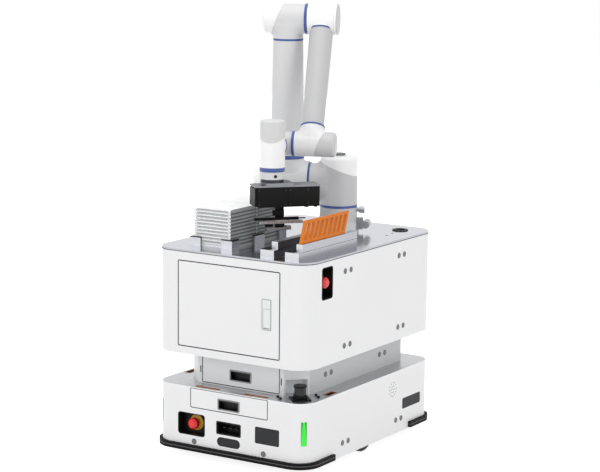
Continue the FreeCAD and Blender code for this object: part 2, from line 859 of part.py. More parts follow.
def lidar_scanners():
    """A laser scanner on its foot plate in front of each niche."""
    units = []
    for place in LIDAR_CORNERS:
        spot = f"{place} * " + at("0", "-61", "0")
        foot = soften(block(both("lidar_plate"), both("lidar_plate"), ("0", "5"), spot), "4",
                      lambda edge: abs(edge.tangentAt(edge.FirstParameter).z) > 0.9)
        base = block(both("1.8 * lidar_radius"), both("1.8 * lidar_radius"), ("5", "18"), spot)
        drum = rod("0.9 * lidar_radius", "lidar_height - 16", ("0", "0", "17"), "z", spot)
        roof = rod("lidar_radius", "8", ("0", "0", "lidar_height - 3"), "z", spot)
        units += [foot, fuse(base, drum, roof)]
    piece("lidar_scanners", group(*units))


DRAWER_LOW = "(deck_level + 6.5)"
DRAWER_HIGH = "(cabinet_low - 6.5)"


def pedestal_drawer():
    """The drawer: a front with a pull, and an open tray behind it."""
    front = "pedestal_front"
    body = new_body()
    pad(body, "XZ_Plane", f"{front} - 16", "16",
        lambda sk: rectangle(sk, both("drawer_width"), (DRAWER_LOW, DRAWER_HIGH)))
    tray = both("drawer_width - 36")
    pad(body, "XY_Plane", DRAWER_LOW, "88",
        lambda sk: rectangle(sk, tray, (f"-{front} + 15", f"-{front} + drawer_deep")))
    pocket(body, "XY_Plane", f"{DRAWER_LOW} + 88", "86", lambda sk: rectangle(
        sk, both("drawer_width - 40"),
        (f"-{front} + handle_depth + 12", f"-{front} + drawer_deep - 2")))
    handle_hole(body, front, "deck_level + 26")
    piece("pedestal_drawer", body)
    handle("drawer_handle", front, "deck_level + 26")


def drawer_rails():
    """A runner on each side of the drawer, standing on the deck."""
    rails = []
    for sign in ("-1", "1"):
        rails.append(block(span(f"{sign} * (drawer_width / 2 - 18 + fit_gap + 7)", "14"),
                           ("-pedestal_front + 20", "-pedestal_front + drawer_deep"),
                           ("deck_level", "deck_level + 60")))
    piece("drawer_rails", group(*rails))


# ---- cabinet ----

CABINET_FRONT = "(cabinet_depth / 2)"
DOOR_TOP = "(door_low + door_height)"
HINGE_X = "(-door_width / 2 + hinge_radius)"
HINGE_Y = "(-cabinet_depth / 2 + hinge_radius)"
LATCH_MIDDLE = "(door_width / 2 - latch_inset)"
LATCH_SPAN = span(LATCH_MIDDLE, "latch_width")


def cabinet_shell():
    """The cabinet's sheet body with its door and stop openings and the door's pins."""
    body = new_body()
    pad(body, "XY_Plane", "cabinet_low", "cabinet_high", lambda sk: outline(sk, plan(*CABINET_PLAN)))
    pocket(body, "XY_Plane", PLATE_LOW, "cabinet_high - sheet_steel",
           lambda sk: outline(sk, plan(*CABINET_PLAN, "sheet_steel")))
    pocket(body, "XZ_Plane", f"{CABINET_FRONT} + 1", "sheet_steel + 2", lambda sk: rectangle(
        sk, both("door_width + 2 * door_gap"), ("door_low - door_gap", f"{DOOR_TOP} + door_gap")))
    pocket(body, "YZ_Plane", "cabinet_width / 2 + 1", "sheet_steel + 2", lambda sk: rectangle(
        sk, span("side_recess_middle", "side_recess_width"),
        span("side_stop_level", "side_recess_height"), "12"))
    pins = []
    for low, pin in ((f"{DOOR_TOP} + door_gap", f"{DOOR_TOP} - 9"),
                     ("door_low - door_gap - 8", "door_low - door_gap")):
        pins.append(block((f"{HINGE_X} - 12", f"{HINGE_X} + 8"),
                          (f"-{CABINET_FRONT} + 1", f"{HINGE_Y} + 8"), (low, f"{low} + 8")))
        pins.append(rod("3", "12", (HINGE_X, HINGE_Y, pin)))
    piece("cabinet_shell", fuse(body, *pins))


def cabinet_door():
    """The door pan with its turned edges, hinged on two pins at its left edge."""
    front = f"-{CABINET_FRONT}"
    outer = block(both("door_width"), (front, f"{front} + door_lip"), ("door_low", DOOR_TOP))
    inner = block(both("door_width - 2 * sheet_steel"), (f"{front} + sheet_steel", "0"),
                  ("door_low + sheet_steel", f"{DOOR_TOP} - sheet_steel"))
    hole = block(LATCH_SPAN, (f"{front} - 1", "0"), ("latch_low", "latch_low + latch_height"))
    corners = []
    bores = []
    for low in ("door_low", f"{DOOR_TOP} - 14"):
        corners.append(block(("-door_width / 2", "-door_width / 2 + 14"),
                             (front, f"{front} + 14"), (low, f"{low} + 14")))
        bores.append(rod("3.05", "20", (HINGE_X, HINGE_Y, f"{low} - 3")))
    piece("cabinet_door", cut(fuse(cut(outer, inner), *corners), hole, *bores))


def latch():
    """The swing latch: a bezel with a lock barrel, and a paddle that lifts from below."""
    front = CABINET_FRONT
    top = "(latch_low + latch_height)"
    body = new_body()
    pad(body, "XZ_Plane", f"{front} - 20", "22",
        lambda sk: rectangle(sk, LATCH_SPAN, ("latch_low", top), "5"))
    pocket(body, "XZ_Plane", f"{front} + 2", "16", lambda sk: rectangle(
        sk, span(LATCH_MIDDLE, "latch_width - 10"), ("latch_low + 5", f"{top} - 36"), "3"))
    pivot = f"{top} - 42"
    pin = rod("2", "latch_width - 8", (f"{LATCH_MIDDLE} - latch_width / 2 + 4",
                                       f"-{front} + 4", pivot), "x")
    barrel = rod("9", "3", (LATCH_MIDDLE, f"-{front} - 4", f"{top} - 18"), "y")
    piece("latch_bezel", fuse(body, pin, barrel))
    half = "latch_width - 12"
    plate = block(span(LATCH_MIDDLE, half), (f"-{front}", f"-{front} + 5"),
                  ("latch_low + 8", f"{pivot} + 3"))
    knuckle = rod("5", half, (f"{LATCH_MIDDLE} - ({half}) / 2", f"-{front} + 4", pivot), "x")
    bore = rod("2.05", "latch_width", (f"{LATCH_MIDDLE} - latch_width / 2", f"-{front} + 4", pivot), "x")
    piece("latch_paddle", cut(fuse(plate, knuckle), bore))


def top_plate():
    """The polished plate that carries the arm, the rails and the cassettes."""
    plate = slab(plan(*CABINET_PLAN), PLATE_LOW, PLATE_TOP)
    holes = [rod("grommet_radius", "plate_thick + 2", ("grommet_x", "grommet_y", f"{PLATE_LOW} - 1")),
             rod("40", "plate_thick + 2", ("arm_x", "arm_y", f"{PLATE_LOW} - 1"))]
    piece("top_plate", cut(plate, *holes))


def cable_grommet():
    """The rubber grommet in the top plate's cable hole."""
    hole = "grommet_radius - 6"
    piece("cable_grommet", turned(
        [(hole, "-4"), ("grommet_radius", "-4"), ("grommet_radius", "plate_thick"),
         ("grommet_radius + 6", "plate_thick"), ("grommet_radius + 6", "plate_thick + 4", "2"),
         (hole, "plate_thick + 4", "1")], at("grommet_x", "grommet_y", PLATE_LOW)))


def arm_controller():
    """The arm's control box on the cabinet floor."""
    low = "cabinet_low + sheet_steel"
    case = block(("-190", "230"), ("60", "450"), (f"{low} + 10", f"{low} + 200"))
    feet = [rod("14", "12", (x, y, low)) for x in ("-160", "200") for y in ("90", "420")]
    piece("arm_controller", fuse(case, *feet))


def screw_caps():
    """Round caps over the screws on the front and on both sides."""
    caps = []
    for sign in ("-1", "1"):
        caps.append(rod("cap_radius", "cap_thick",
                        (f"{sign} * 159.5", f"-{FRONT} - cap_thick", "76.5"), "y"))
    rows = (("cabinet_width / 2", "758.5"), ("cabinet_width / 2", "470.5"),
            ("pedestal_width / 2", "348.5"), (SIDE, "89.5"))
    for face, level in rows:
        for start in (face, f"-({face}) - cap_thick"):
            for middle in ("cap_front", "cap_rear"):
                for sign in ("-1", "1"):
                    spot = (start, f"{middle} + {sign} * cap_spacing / 2", level)
                    caps.append(rod("cap_radius", "cap_thick", spot, "x"))
    piece("screw_caps", group(*caps))


# ---- table fittings ----


def fixture_rails():
    """Two stepped rails with a dark strip on the low step."""
    parts = []
    for left in ("rail_left", "rail_right"):
        step = f"{left} + rail_width - lip_width"
        lip_front = "-rail_front + lip_setback"
        rear = "-rail_front + rail_length"
        low = block((left, f"{left} + rail_width"), ("-rail_front", rear),
                    (PLATE_TOP, f"{PLATE_TOP} + rail_height"))
        lip = block((step, f"{left} + rail_width"), (lip_front, rear),
                    (f"{PLATE_TOP} + rail_height - 1", f"{PLATE_TOP} + rail_height + lip_height"))
        strip = block((left, step), ("-rail_front", rear),
                      (f"{PLATE_TOP} + rail_height", f"{PLATE_TOP} + rail_height + ledge_strip"))
        parts += [fuse(low, lip), strip]
    piece("fixture_rails", group(*parts))


CASSETTE_PITCH = "(cassette_depth + cassette_space)"


def cassettes():
    """Two slotted cassettes, open front and rear, with a bar across the rear."""
    for number, shift in ((1, "0"), (2, CASSETTE_PITCH)):
        place = at("cassette_left", f"-cassette_front + {shift}", PLATE_TOP)
        depth = ("0", "cassette_depth")
        inner = "cassette_width - cassette_wall"
        body = block(("0", "cassette_width"), depth, ("0", "cassette_height"), place)
        hollow = block(("cassette_wall", inner), ("-1", "cassette_depth + 1"),
                       ("cassette_plate", "cassette_height - cassette_plate"), place)
        grooves = []
        for i in range(SIZES["groove_count"]):
            low = f"cassette_plate + groove_pitch * ({i} + 0.5) - groove_height / 2"
            level = (low, f"{low} + groove_height")
            for reach in (("cassette_wall - groove_depth", f"{inner} + groove_depth"),
                          ("-1", "rib_depth"), ("cassette_width - rib_depth", "cassette_width + 1")):
                grooves.append(block(reach, ("-1", "cassette_depth + 1"), level, place))
        bar = block(span("cassette_width / 2", "14"), ("cassette_depth - 8", "cassette_depth"),
                    ("cassette_plate - 1", "cassette_height - cassette_plate + 1"), place)
        piece(f"cassette_{number}", fuse(cut(body, hollow, *grooves), bar))


def cassette_locators():
    """Corner stops that hold the cassettes, with a dark pad on each."""
    parts = []
    play = "0.5"
    left = f"cassette_left - {play}"
    right = f"cassette_left + cassette_width + {play}"
    front = f"-cassette_front - {play}"
    rear = f"-cassette_front + {CASSETTE_PITCH} + cassette_depth + {play}"
    middle = f"-cassette_front + cassette_depth + cassette_space / 2"
    low = PLATE_TOP
    high = f"{PLATE_TOP} + locator_height - 3"
    web = f"(cassette_space - 2 * {play})"
    for x, sx in ((left, "-1"), (right, "1")):
        face = sorted_span(x, sx, "locator_thick")
        along = sorted_span(x, f"-({sx})", "locator_leg - locator_thick")
        for y, sy in ((front, "-1"), (rear, "1")):
            edge = sorted_span(y, sy, "locator_thick")
            run = sorted_span(y, f"-({sy})", "locator_leg - locator_thick")
            parts += corner_stop((face, join(edge, run, sy)), (join(face, along, sx), edge), low, high)
        parts += corner_stop((face, span(middle, "locator_leg + 20")),
                             (join(face, along, sx), span(middle, web)), low, high)
    piece("cassette_locators", group(*parts))


def sorted_span(start, sign, length):
    """The (low, high) pair of a span that runs from a start in a sign's direction."""
    ends = (start, f"({start}) + ({sign}) * ({length})")
    return ends if val(ends[0]) < val(ends[1]) else ends[::-1]


def join(first, second, sign):
    """The span over two neighbouring spans."""
    return (first[0], second[1]) if sign == "-1" else (second[0], first[1])


def corner_stop(leg, foot, low, high):
    """An L or T of two legs and the pad on its top."""
    stop = fuse(block(*leg, (low, high)), block(*foot, (low, high)))
    cover = fuse(block(*leg, (high, f"{high} + 3")), block(*foot, (high, f"{high} + 3")))
    return [stop, cover]


# ---- arm ----

ARM = at("arm_x", "arm_y", PLATE_TOP, "arm_turn")
ELBOW_Z = "(shoulder_height + upper_length)"
WRIST_Z = f"({ELBOW_Z} - forearm_length * cos(forearm_tilt))"
WRIST_Y = "(-forearm_length * sin(forearm_tilt))"
TOOL_Y = f"({WRIST_Y} - 2 * wrist_radius - wrist_space)"
FOREARM = f"{ARM} * " + at("0", "0", ELBOW_Z, "-forearm_tilt", "1; 0; 0")


def split(whole, place, reach="220"):
    """Part a housing at a plane: the cap lies on the -X side, half a millimetre away."""
    size = both(f"2 * {reach}")
    away = block((f"-{reach}", "0"), size, size, place)
    keep = block((f"-{reach}", "-0.6"), size, size, place)
    return cut(whole, away), common(whole, keep)


def ring(outer, inner, length, spot, axis="z", place=ARM):
    """A plain ring."""
    return cut(rod(outer, length, spot, axis, place), rod(inner, length, spot, axis, place))


def bend(radius, inner, x, z, side, rise, place=ARM):
    """A quarter of a pipe bend that rounds the inner corner beside a neck.

    x and z are the bend's centre, side says on which side of the neck it lies and rise whether
    the neck leaves upwards or downwards.
    """
    flip = "0" if side == "-1" else "180"
    turn = "90" if rise == "-1" else "-90"
    where = f"{place} * " + at(x, "0", z, flip) + " * " + at("0", "0", "0", turn, "1; 0; 0")
    return add("Part::Torus", where, Radius1=f"{radius} + {inner}", Radius2=radius, Angle3="90")


def drum(radius, low, high, place, ends="14"):
    """A cylinder along X whose outer end at the low side is rounded."""
    turn = f"{place} * " + at("0", "0", "0", "90", "0; 1; 0")
    return turned([("0", low), (radius, low, ends), (radius, high), ("0", high)], turn)


def arm_base():
    """The base: a bolted foot that narrows to the first joint, flat at the cable side."""
    rim = "shoulder_radius"
    flare = turned([("0", "0"), ("base_foot", "0"), ("base_foot", "12", "3"),
                    (f"{rim} + 2", "44", "24"), (rim, "base_height"), ("0", "base_height")], ARM)
    flat = block((f"{rim} + 1", "base_foot + 1"), both("220"), ("-1", "base_height + 1"), ARM)
    core = rod("34", "base_height - 10", ("0", "0", "-1"), "z", ARM)
    bolts = []
    for turn in ("60", "120", "240", "300"):
        spot = (f"(base_foot - 12) * cos({turn})", f"(base_foot - 12) * sin({turn})", "-1")
        bolts.append(rod("4.5", "20", spot, "z", ARM))
    piece("arm_base", cut(flare, flat, core, *bolts))
    piece("base_ring", ring("shoulder_radius + 0.5", "40", "joint_ring", ("0", "0", "base_height")))
    face = f"{rim} + 1"
    round_plug = fuse(rod("9", "9", (face, "0", "92"), "x", ARM),
                      rod("13.5", "22", (f"{face} + 8", "0", "92"), "x", ARM))
    block_plug = block((face, f"{face} + 24"), both("34"), ("14", "60"), ARM)
    tee = rod("15", "72", (f"{face} + 38", "-36", "36"), "y", ARM)
    neck = rod("12", "30", (f"{face} + 16", "0", "36"), "x", ARM)
    piece("base_connectors", group(round_plug, fuse(block_plug, tee, neck)))


def shoulder():
    """The shoulder turns on the base and carries the upper arm's joint."""
    low = "base_height + joint_ring + fit_gap"
    post = turned([("0", low), ("shoulder_radius", low), ("shoulder_radius", "shoulder_top", "18"),
                   ("0", "shoulder_top")], ARM)
    stub = rod("tube_low_radius", "shoulder_reach", ("-shoulder_reach", "0", "shoulder_height"),
               "x", ARM)
    cover_plane = f"{ARM} * " + at("0", "0", "shoulder_height + 49", "111.6", "0; 1; 0")
    blends = []
    for rise in ("-1", "1"):
        blends.append(bend("tube_low_radius - 0.5", "shoulder_blend",
                           "-shoulder_radius - shoulder_blend",
                           f"shoulder_height + {rise} * (tube_low_radius + shoulder_blend)",
                           "-1", rise))
    housing, cover = split(fuse(post, stub, *blends), cover_plane)
    piece("shoulder_housing", housing)
    cap_low = "shoulder_top"
    cap = turned([("0", cap_low), ("26", cap_low), ("26", f"{cap_low} + ring_thick", "3"),
                  ("0", f"{cap_low} + ring_thick")], ARM)
    piece("shoulder_cover", fuse(cover, cap))


def upper_arm():
    """The upper arm: a T housing at each end of a tapered tube, with caps and rings."""
    low_place = f"{ARM} * " + at("0", "0", "shoulder_height")
    high_place = f"{ARM} * " + at("0", "0", ELBOW_Z)
    start = "shoulder_reach + ring_thick"
    lower = drum("upper_low_radius", "-upper_low_end", f"-({start})", low_place)
    upper = drum("elbow_radius", "-elbow_end", "-elbow_face", high_place)
    spot = ("-upper_offset", "0", "shoulder_height")
    neck = rod("tube_low_radius + 1", "86", spot, "z", ARM)
    tube_low = ("-upper_offset", "0", "shoulder_height + 86")
    tube = taper("tube_low_radius", "tube_high_radius", "upper_length - 109", tube_low, "z", ARM)
    top = rod("elbow_radius + 1", "86", ("-upper_offset", "0", f"{ELBOW_Z} - 86"), "z", ARM)
    low_bends = []
    for side in ("-1", "1"):
        low_bends.append(bend("tube_low_radius", "upper_blend",
                              f"-upper_offset + {side} * (tube_low_radius + 1 + upper_blend)",
                              "shoulder_height + upper_low_radius + upper_blend", side, "1"))
    high_bends = []
    for side, inner in (("-1", "elbow_blend"), ("1", "upper_blend")):
        high_bends.append(bend("elbow_radius - 0.5", inner,
                               f"-upper_offset + {side} * (elbow_radius + {inner})",
                               f"{ELBOW_Z} - elbow_radius - {inner}", side, "-1"))
    low_plane = f"{ARM} * " + at("-284.5", "0", "shoulder_height", "16.7", "0; 1; 0")
    high_plane = f"{ARM} * " + at("-250.5", "0", ELBOW_Z, "21.2", "0; 1; 0")
    lower_main, lower_cap = split(fuse(lower, *low_bends), low_plane, "130")
    upper_main, upper_cap = split(fuse(upper, *high_bends), high_plane, "110")
    lower_cap = cut(lower_cap, rod("tube_low_radius + 2", "120", spot, "z", ARM))
    upper_cap = cut(upper_cap, rod("elbow_radius + 2.5", "120",
                                   ("-upper_offset", "0", f"{ELBOW_Z} - 120"), "z", ARM))
    low_ring = ring("tube_low_radius + 1.5", "tube_low_radius - 6", "15", tube_low)
    high_ring = ring("elbow_radius + 2", "elbow_radius - 6", "ring_thick",
                     ("-upper_offset", "0", f"{ELBOW_Z} - 86"))
    casting = fuse(lower_main, upper_main, neck, tube, top)
    piece("upper_arm_casting", cut(casting, low_ring, high_ring))
    piece("upper_arm_covers", group(lower_cap, upper_cap))
    joint = ring("upper_low_radius - 5", "40", "ring_thick - 0.5",
                 (f"-({start})", "0", "shoulder_height"), "x")
    piece("upper_arm_rings", group(joint, low_ring, high_ring))


def forearm():
    """The forearm: the elbow head, a tapered tube and the lower T housing."""
    face = "elbow_face - 12.5"
    head = rod("forearm_head_radius", f"{face} - 23", (f"-({face}) + 0.5", "0", "0"), "x", FOREARM)
    lid_turn = f"{FOREARM} * " + at("-22", "0", "0", "90", "0; 1; 0")
    lid = turned([("0", "0"), ("forearm_head_radius - 1", "0"),
                  ("forearm_head_radius - 1", "12.5", "5"), ("0", "12.5")], lid_turn)
    foot = drum("wrist_radius", "-wrist_right", "wrist_face",
                f"{FOREARM} * " + at("0", "0", "-forearm_length", "180"))
    middle = "-forearm_offset"
    neck = rod("forearm_high_radius + 2", "50", (middle, "0", "-50"), "z", FOREARM)
    tube = taper("forearm_low_radius", "forearm_high_radius",
                 "forearm_length - wrist_radius - 71.5",
                 (middle, "0", "-forearm_length + wrist_radius + 21.5"), "z", FOREARM)
    shin = rod("wrist_radius - 0.5", "wrist_radius + 21.5", (middle, "0", "-forearm_length"),
               "z", FOREARM)
    plane = f"{FOREARM} * " + at("-36", "0", "-forearm_length", "180") + " * " + at(
        "0", "0", "0", "-24.4", "0; 1; 0")
    bends = []
    for side in ("-1", "1"):
        bends.append(bend("wrist_radius - 1", "forearm_blend",
                          f"{middle} + {side} * (wrist_radius - 0.5 + forearm_blend)",
                          "-forearm_length + wrist_radius - 0.5 + forearm_blend", side, "1",
                          FOREARM))
    foot_main, foot_cap = split(fuse(foot, *bends), plane, "90")
    high_ring = ring("forearm_high_radius + 2.5", "forearm_low_radius - 3", "5.5",
                     (middle, "0", "-55.5"), "z", FOREARM)
    low_ring = ring("wrist_radius", "forearm_low_radius - 4", "7",
                    (middle, "0", "-forearm_length + wrist_radius + 17.5"), "z", FOREARM)
    casting = fuse(head, foot_main, neck, tube, cut(shin, foot_cap))
    high_ring = cut(high_ring, rod("forearm_head_radius", "200", ("-200", "0", "0"), "x", FOREARM))
    piece("forearm_casting", cut(casting, high_ring, low_ring))
    piece("forearm_covers", group(lid, foot_cap))
    elbow_ring = ring("elbow_radius + 2.5", "36", "12", ("-elbow_face + 0.5", "0", "0"), "x",
                      FOREARM)
    wrist_ring = ring("wrist_radius", "30", "11", ("-wrist_face - 11", "0", "-forearm_length"),
                      "x", FOREARM)
    piece("forearm_rings", group(elbow_ring, wrist_ring, high_ring, low_ring))


def wrists():
    """The last two wrist housings, their cover and rings, and the tool flange."""
    side = "wrist_radius - 2.5"
    stub = rod("wrist_radius - 3.5", "wrist_offset - wrist_face - 11.5", ("-wrist_offset", "0", "0"), "x",
               f"{ARM} * " + at("0", WRIST_Y, WRIST_Z))
    body_place = f"{ARM} * " + at("-wrist_offset", WRIST_Y, WRIST_Z, "-90")
    first = drum(side, "-wrist_radius - 2.5", "wrist_radius + 6.5", body_place, "16")
    piece("wrist1_housing", fuse(stub, first))
    tool = f"{ARM} * " + at("-wrist_offset", TOOL_Y, WRIST_Z)
    barrel = turned([("0", "-wrist_below + 44.5"), ("wrist_radius", "-wrist_below + 44.5"),
                     ("wrist_radius", "wrist_above", "8"), ("0", "wrist_above")], tool)
    arm_stub = rod(side, "wrist_radius + 5", ("0", "0", "0"), "y", tool)
    whole = fuse(barrel, arm_stub)
    top = block(both("160"), both("160"), ("19 + cover_curve", "wrist_above + 10"), tool)
    spot = ("0", "-80", "19 + cover_curve")
    hollow = fuse(rod("cover_curve", "160", spot, "y", tool), top)
    filled = fuse(rod("cover_curve - 0.6", "160", spot, "y", tool), top)
    piece("wrist2_housing", cut(whole, hollow))
    piece("wrist2_cover", common(whole, filled))
    joint5 = ring("wrist_radius - 1", "30", "12", ("0", "wrist_radius + 5", "0"), "y", tool)
    joint6 = ring("wrist_radius", "30", "16", ("0", "0", "-wrist_below + 28.5"), "z", tool)
    piece("wrist_rings", group(joint5, joint6))
    flange = rod("wrist_radius - 1", "flange_height", ("0", "0", "-wrist_below"), "z", tool)
    disc = rod("wrist_radius - 4", "13.5", ("0", "0", "-wrist_below - 13.4"), "z", tool)
    piece("tool_flange", fuse(flange, disc))


# ---- gripper ----

TOOL = f"{ARM} * " + at("-wrist_offset", TOOL_Y, f"({WRIST_Z} - wrist_below - 13.4)",
                        "tool_turn - arm_turn")
BOX_TOP = "-15.6"
BOX_LOW = f"({BOX_TOP} - tool_box_high)"


def gripper_frame():
    """The adapter, the mounting plate and the guide post that the jaws run on."""
    adapter = block(("-35", "74"), both("90"), ("-10", "0"), TOOL)
    plate = block(("-tool_box_left", "tool_box_right"), both("2 * tool_box_half"),
                  (BOX_TOP, "-9.5"), TOOL)
    post = block(("18", "49"), ("4", "22"), (f"{BOX_LOW} - 91", BOX_LOW), TOOL)
    stop = block(("3", "47"), ("-8", "4"), (f"{BOX_LOW} - 37", f"{BOX_LOW} - 16"), TOOL)
    piece("gripper_frame", group(fuse(adapter, plate), post, stop))


def gripper_housing():
    """The gripper's case with its finned end, its feet and its lens."""
    case = block(("-tool_box_left + 14", "tool_box_right"), both("2 * tool_box_half"),
                 (BOX_LOW, BOX_TOP), TOOL)
    case = soften(case, "3", lambda edge: abs(edge.tangentAt(edge.FirstParameter).z) > 0.9)
    core = block(("-tool_box_left", "-tool_box_left + 15"), both("2 * tool_box_half - 8"),
                 (f"{BOX_LOW} + 4", f"{BOX_TOP} - 4"), TOOL)
    fins = [block(("-tool_box_left + 3", "-tool_box_left + 14"), span(f"{i} * 10 - 35", "3"),
                  (f"{BOX_LOW} + 10", f"{BOX_TOP} - 3"), TOOL) for i in range(8)]
    feet = [block(span(x, "12"), both("60"), (f"{BOX_LOW} - 5", BOX_LOW), TOOL)
            for x in ("tool_box_right - 12", "tool_box_right - 48")]
    lens = rod("7", "4", ("tool_box_right - 26", "-tool_box_half - 3", f"{BOX_LOW} + 16"), "y", TOOL)
    piece("gripper_housing", fuse(case, cut(core, *fins), lens, *feet))


def jaws():
    """The two parallel jaws in front of the guide post."""
    level = f"({BOX_LOW} - 57)"
    plate = block(("-56", "119"), ("-22", "3.7"), (f"{level} - 10", level), TOOL)
    carriage = block(("10", "57"), ("-12", "3.7"), (level, f"{level} + 3"), TOOL)
    strip = block(("-72", "103"), ("-16", "-4"), (f"{level} + 3", f"{level} + 13.5"), TOOL)
    tip = block(("103", "130"), ("-13", "-7"), (f"{level} + 6", f"{level} + 10"), TOOL)
    pads = [block(x, ("-20", "2"), (f"{level} - 21.5", f"{level} - 10"), TOOL)
            for x in (("-28", "0"), ("20", "45"))]
    piece("upper_jaw", fuse(plate, carriage, strip, tip, *pads))
    low = f"({level} - 35)"
    bar = block(("-26", "72"), ("-20", "3.7"), (low, f"{low} + 10"), TOOL)
    step = block(("52", "72"), ("-20", "3.7"), (f"{low} + 9", f"{low} + 16"), TOOL)
    piece("lower_jaw", fuse(bar, step))


# ---- the whole robot ----

chassis_frame()
chassis_shell()
deck_plate()
deck_slot_trims()
bumpers()
light_strips()
sensor_windows()
speaker_grilles()
charging_port()
screw_caps()
stop_housing("estop_recess", FRONT_STOP, "stop_recess_width", "stop_recess_height")
stop_button("estop_front_button", FRONT_STOP)
service_flap()
battery_pack()
drive_gearmotors()
drive_wheels()
casters()
pedestal_shell()
lidar_scanners()
pedestal_drawer()
drawer_rails()
cabinet_shell()
cabinet_door()
latch()
stop_housing("estop_side_panel", SIDE_STOP, "side_recess_height", "side_recess_width")
stop_button("estop_side_button", SIDE_STOP)
arm_controller()
top_plate()
cable_grommet()
fixture_rails()
cassettes()
cassette_locators()
arm_base()
shoulder()
upper_arm()
forearm()
wrists()
gripper_frame()
gripper_housing()
jaws()

doc.recompute()

for thing in doc.Objects:
    if "Invalid" in thing.State or "Error" in thing.State:
        raise ValueError(f"{thing.Label} is {thing.State}")

os.makedirs("parts", exist_ok=True)
for thing in PIECES:
    if thing.Shape.isNull() or not thing.Shape.isValid():
        raise ValueError(f"{thing.Label} has no valid shape")
    thing.Shape.exportStep(f"parts/{thing.Label}.step")
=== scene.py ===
# %% [markdown]
# # Mobile robot with a six-axis arm
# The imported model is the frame: every body, joint and solid is already in place, in metres.
# This notebook only gives each solid its finish, adds the small pieces that a drawing leaves
# out, and lights the whole as a product studio would.

# %% load the frame
import json
import math

import bmesh
import bpy
import numpy as np
from mathutils import Matrix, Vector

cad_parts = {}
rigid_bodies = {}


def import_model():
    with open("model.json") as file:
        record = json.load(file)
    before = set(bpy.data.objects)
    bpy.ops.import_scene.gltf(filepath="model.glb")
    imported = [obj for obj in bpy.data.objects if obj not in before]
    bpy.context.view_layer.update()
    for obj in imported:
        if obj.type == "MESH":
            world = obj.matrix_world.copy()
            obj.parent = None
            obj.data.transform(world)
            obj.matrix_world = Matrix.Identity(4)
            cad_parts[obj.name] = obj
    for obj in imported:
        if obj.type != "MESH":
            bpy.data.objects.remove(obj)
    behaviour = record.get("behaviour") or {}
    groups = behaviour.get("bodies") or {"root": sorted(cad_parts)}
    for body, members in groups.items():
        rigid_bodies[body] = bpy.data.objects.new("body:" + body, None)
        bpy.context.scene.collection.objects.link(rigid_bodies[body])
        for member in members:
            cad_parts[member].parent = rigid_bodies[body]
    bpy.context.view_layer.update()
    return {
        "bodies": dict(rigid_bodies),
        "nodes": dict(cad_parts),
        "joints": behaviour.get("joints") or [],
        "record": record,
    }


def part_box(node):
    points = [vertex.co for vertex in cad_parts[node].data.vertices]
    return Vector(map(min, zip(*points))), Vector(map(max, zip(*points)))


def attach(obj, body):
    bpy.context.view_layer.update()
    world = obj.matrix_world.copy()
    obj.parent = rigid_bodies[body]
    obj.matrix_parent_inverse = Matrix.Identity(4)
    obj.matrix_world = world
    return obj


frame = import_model()
nodes = frame["nodes"]

# %% [markdown]
# ## Camera
# A long lens from the front right corner keeps the verticals nearly parallel, which is how a
# catalogue shows a tall machine. The camera stands 8 m away and is turned by three angles: a
# heading round the robot, a drop below the horizon, and a slight roll.

# %% camera
HEADING, DROP, ROLL = map(math.radians, (32.365, 9.613, 0.586))
EYE = np.array([4.1657, -6.5629, 2.1443])

camera_data = bpy.data.cameras.new("camera")
camera = bpy.data.objects.new("camera", camera_data)
bpy.context.scene.collection.objects.link(camera)
bpy.context.scene.camera = camera
camera_data.lens = 119.75
camera_data.sensor_width = 36.0
camera_data.clip_end = 60.0

level = np.array([math.cos(HEADING), math.sin(HEADING), 0.0])
ahead = np.array([-math.sin(HEADING) * math.cos(DROP), math.cos(HEADING) * math.cos(DROP),
                  -math.sin(DROP)])
above = np.cross(level, ahead)
across = math.cos(ROLL) * level + math.sin(ROLL) * above
upward = math.cos(ROLL) * above - math.sin(ROLL) * level
placement = np.eye(4)
placement[:3] = np.stack([across, upward, -ahead, EYE], axis=1)
camera.matrix_world = Matrix(placement.tolist())
print("camera", round(float(np.linalg.norm(EYE)), 2), "m from the origin")

# %% [markdown]
# ## Light
# Pale paint shows its shape only through soft gradients, so the light comes from large
# panels: a broad one above, a key from the left front, a weaker one from the right, and two
# small fills, one low in front and one behind. The fills are hidden from mirrors, where they
# would only glare. The camera and every mirror see a plain white room, while the room's own
# light on the robot stays lower, which leaves the whites room below clipping.

# %% lamps and room
def panel(name, spot, aim, size, watts, mirrored=True):
    """A square area lamp at spot that looks along the straight line to aim."""
    data = bpy.data.lights.new(name, "AREA")
    data.size = size
    data.energy = watts
    lamp = bpy.data.objects.new(name, data)
    bpy.context.scene.collection.objects.link(lamp)
    back = np.array(spot, float) - np.array(aim, float)
    back /= np.linalg.norm(back)
    side = np.cross((0.0, 0.0, 1.0), back)
    side = np.array([1.0, 0.0, 0.0]) if np.linalg.norm(side) < 1e-6 else side / np.linalg.norm(side)
    pose = np.eye(4)
    pose[:3] = np.stack([side, np.cross(back, side), back, spot], axis=1)
    lamp.matrix_world = Matrix(pose.tolist())
    lamp.visible_glossy = mirrored
    return lamp


panel("overhead", (0.3, -0.6, 5.0), (0.0, 0.0, 0.8), 4.0, 76)
panel("key", (-2.6, -5.0, 2.6), (0.0, 0.0, 0.8), 2.6, 62)
panel("side", (5.2, -0.6, 2.2), (0.0, 0.0, 0.8), 2.6, 52)
panel("low fill", (1.2, -4.6, 0.5), (0.0, 0.0, 0.3), 2.0, 16, mirrored=False)
panel("rear", (-2.5, 4.5, 3.0), (0.0, 0.0, 1.0), 2.5, 34, mirrored=False)


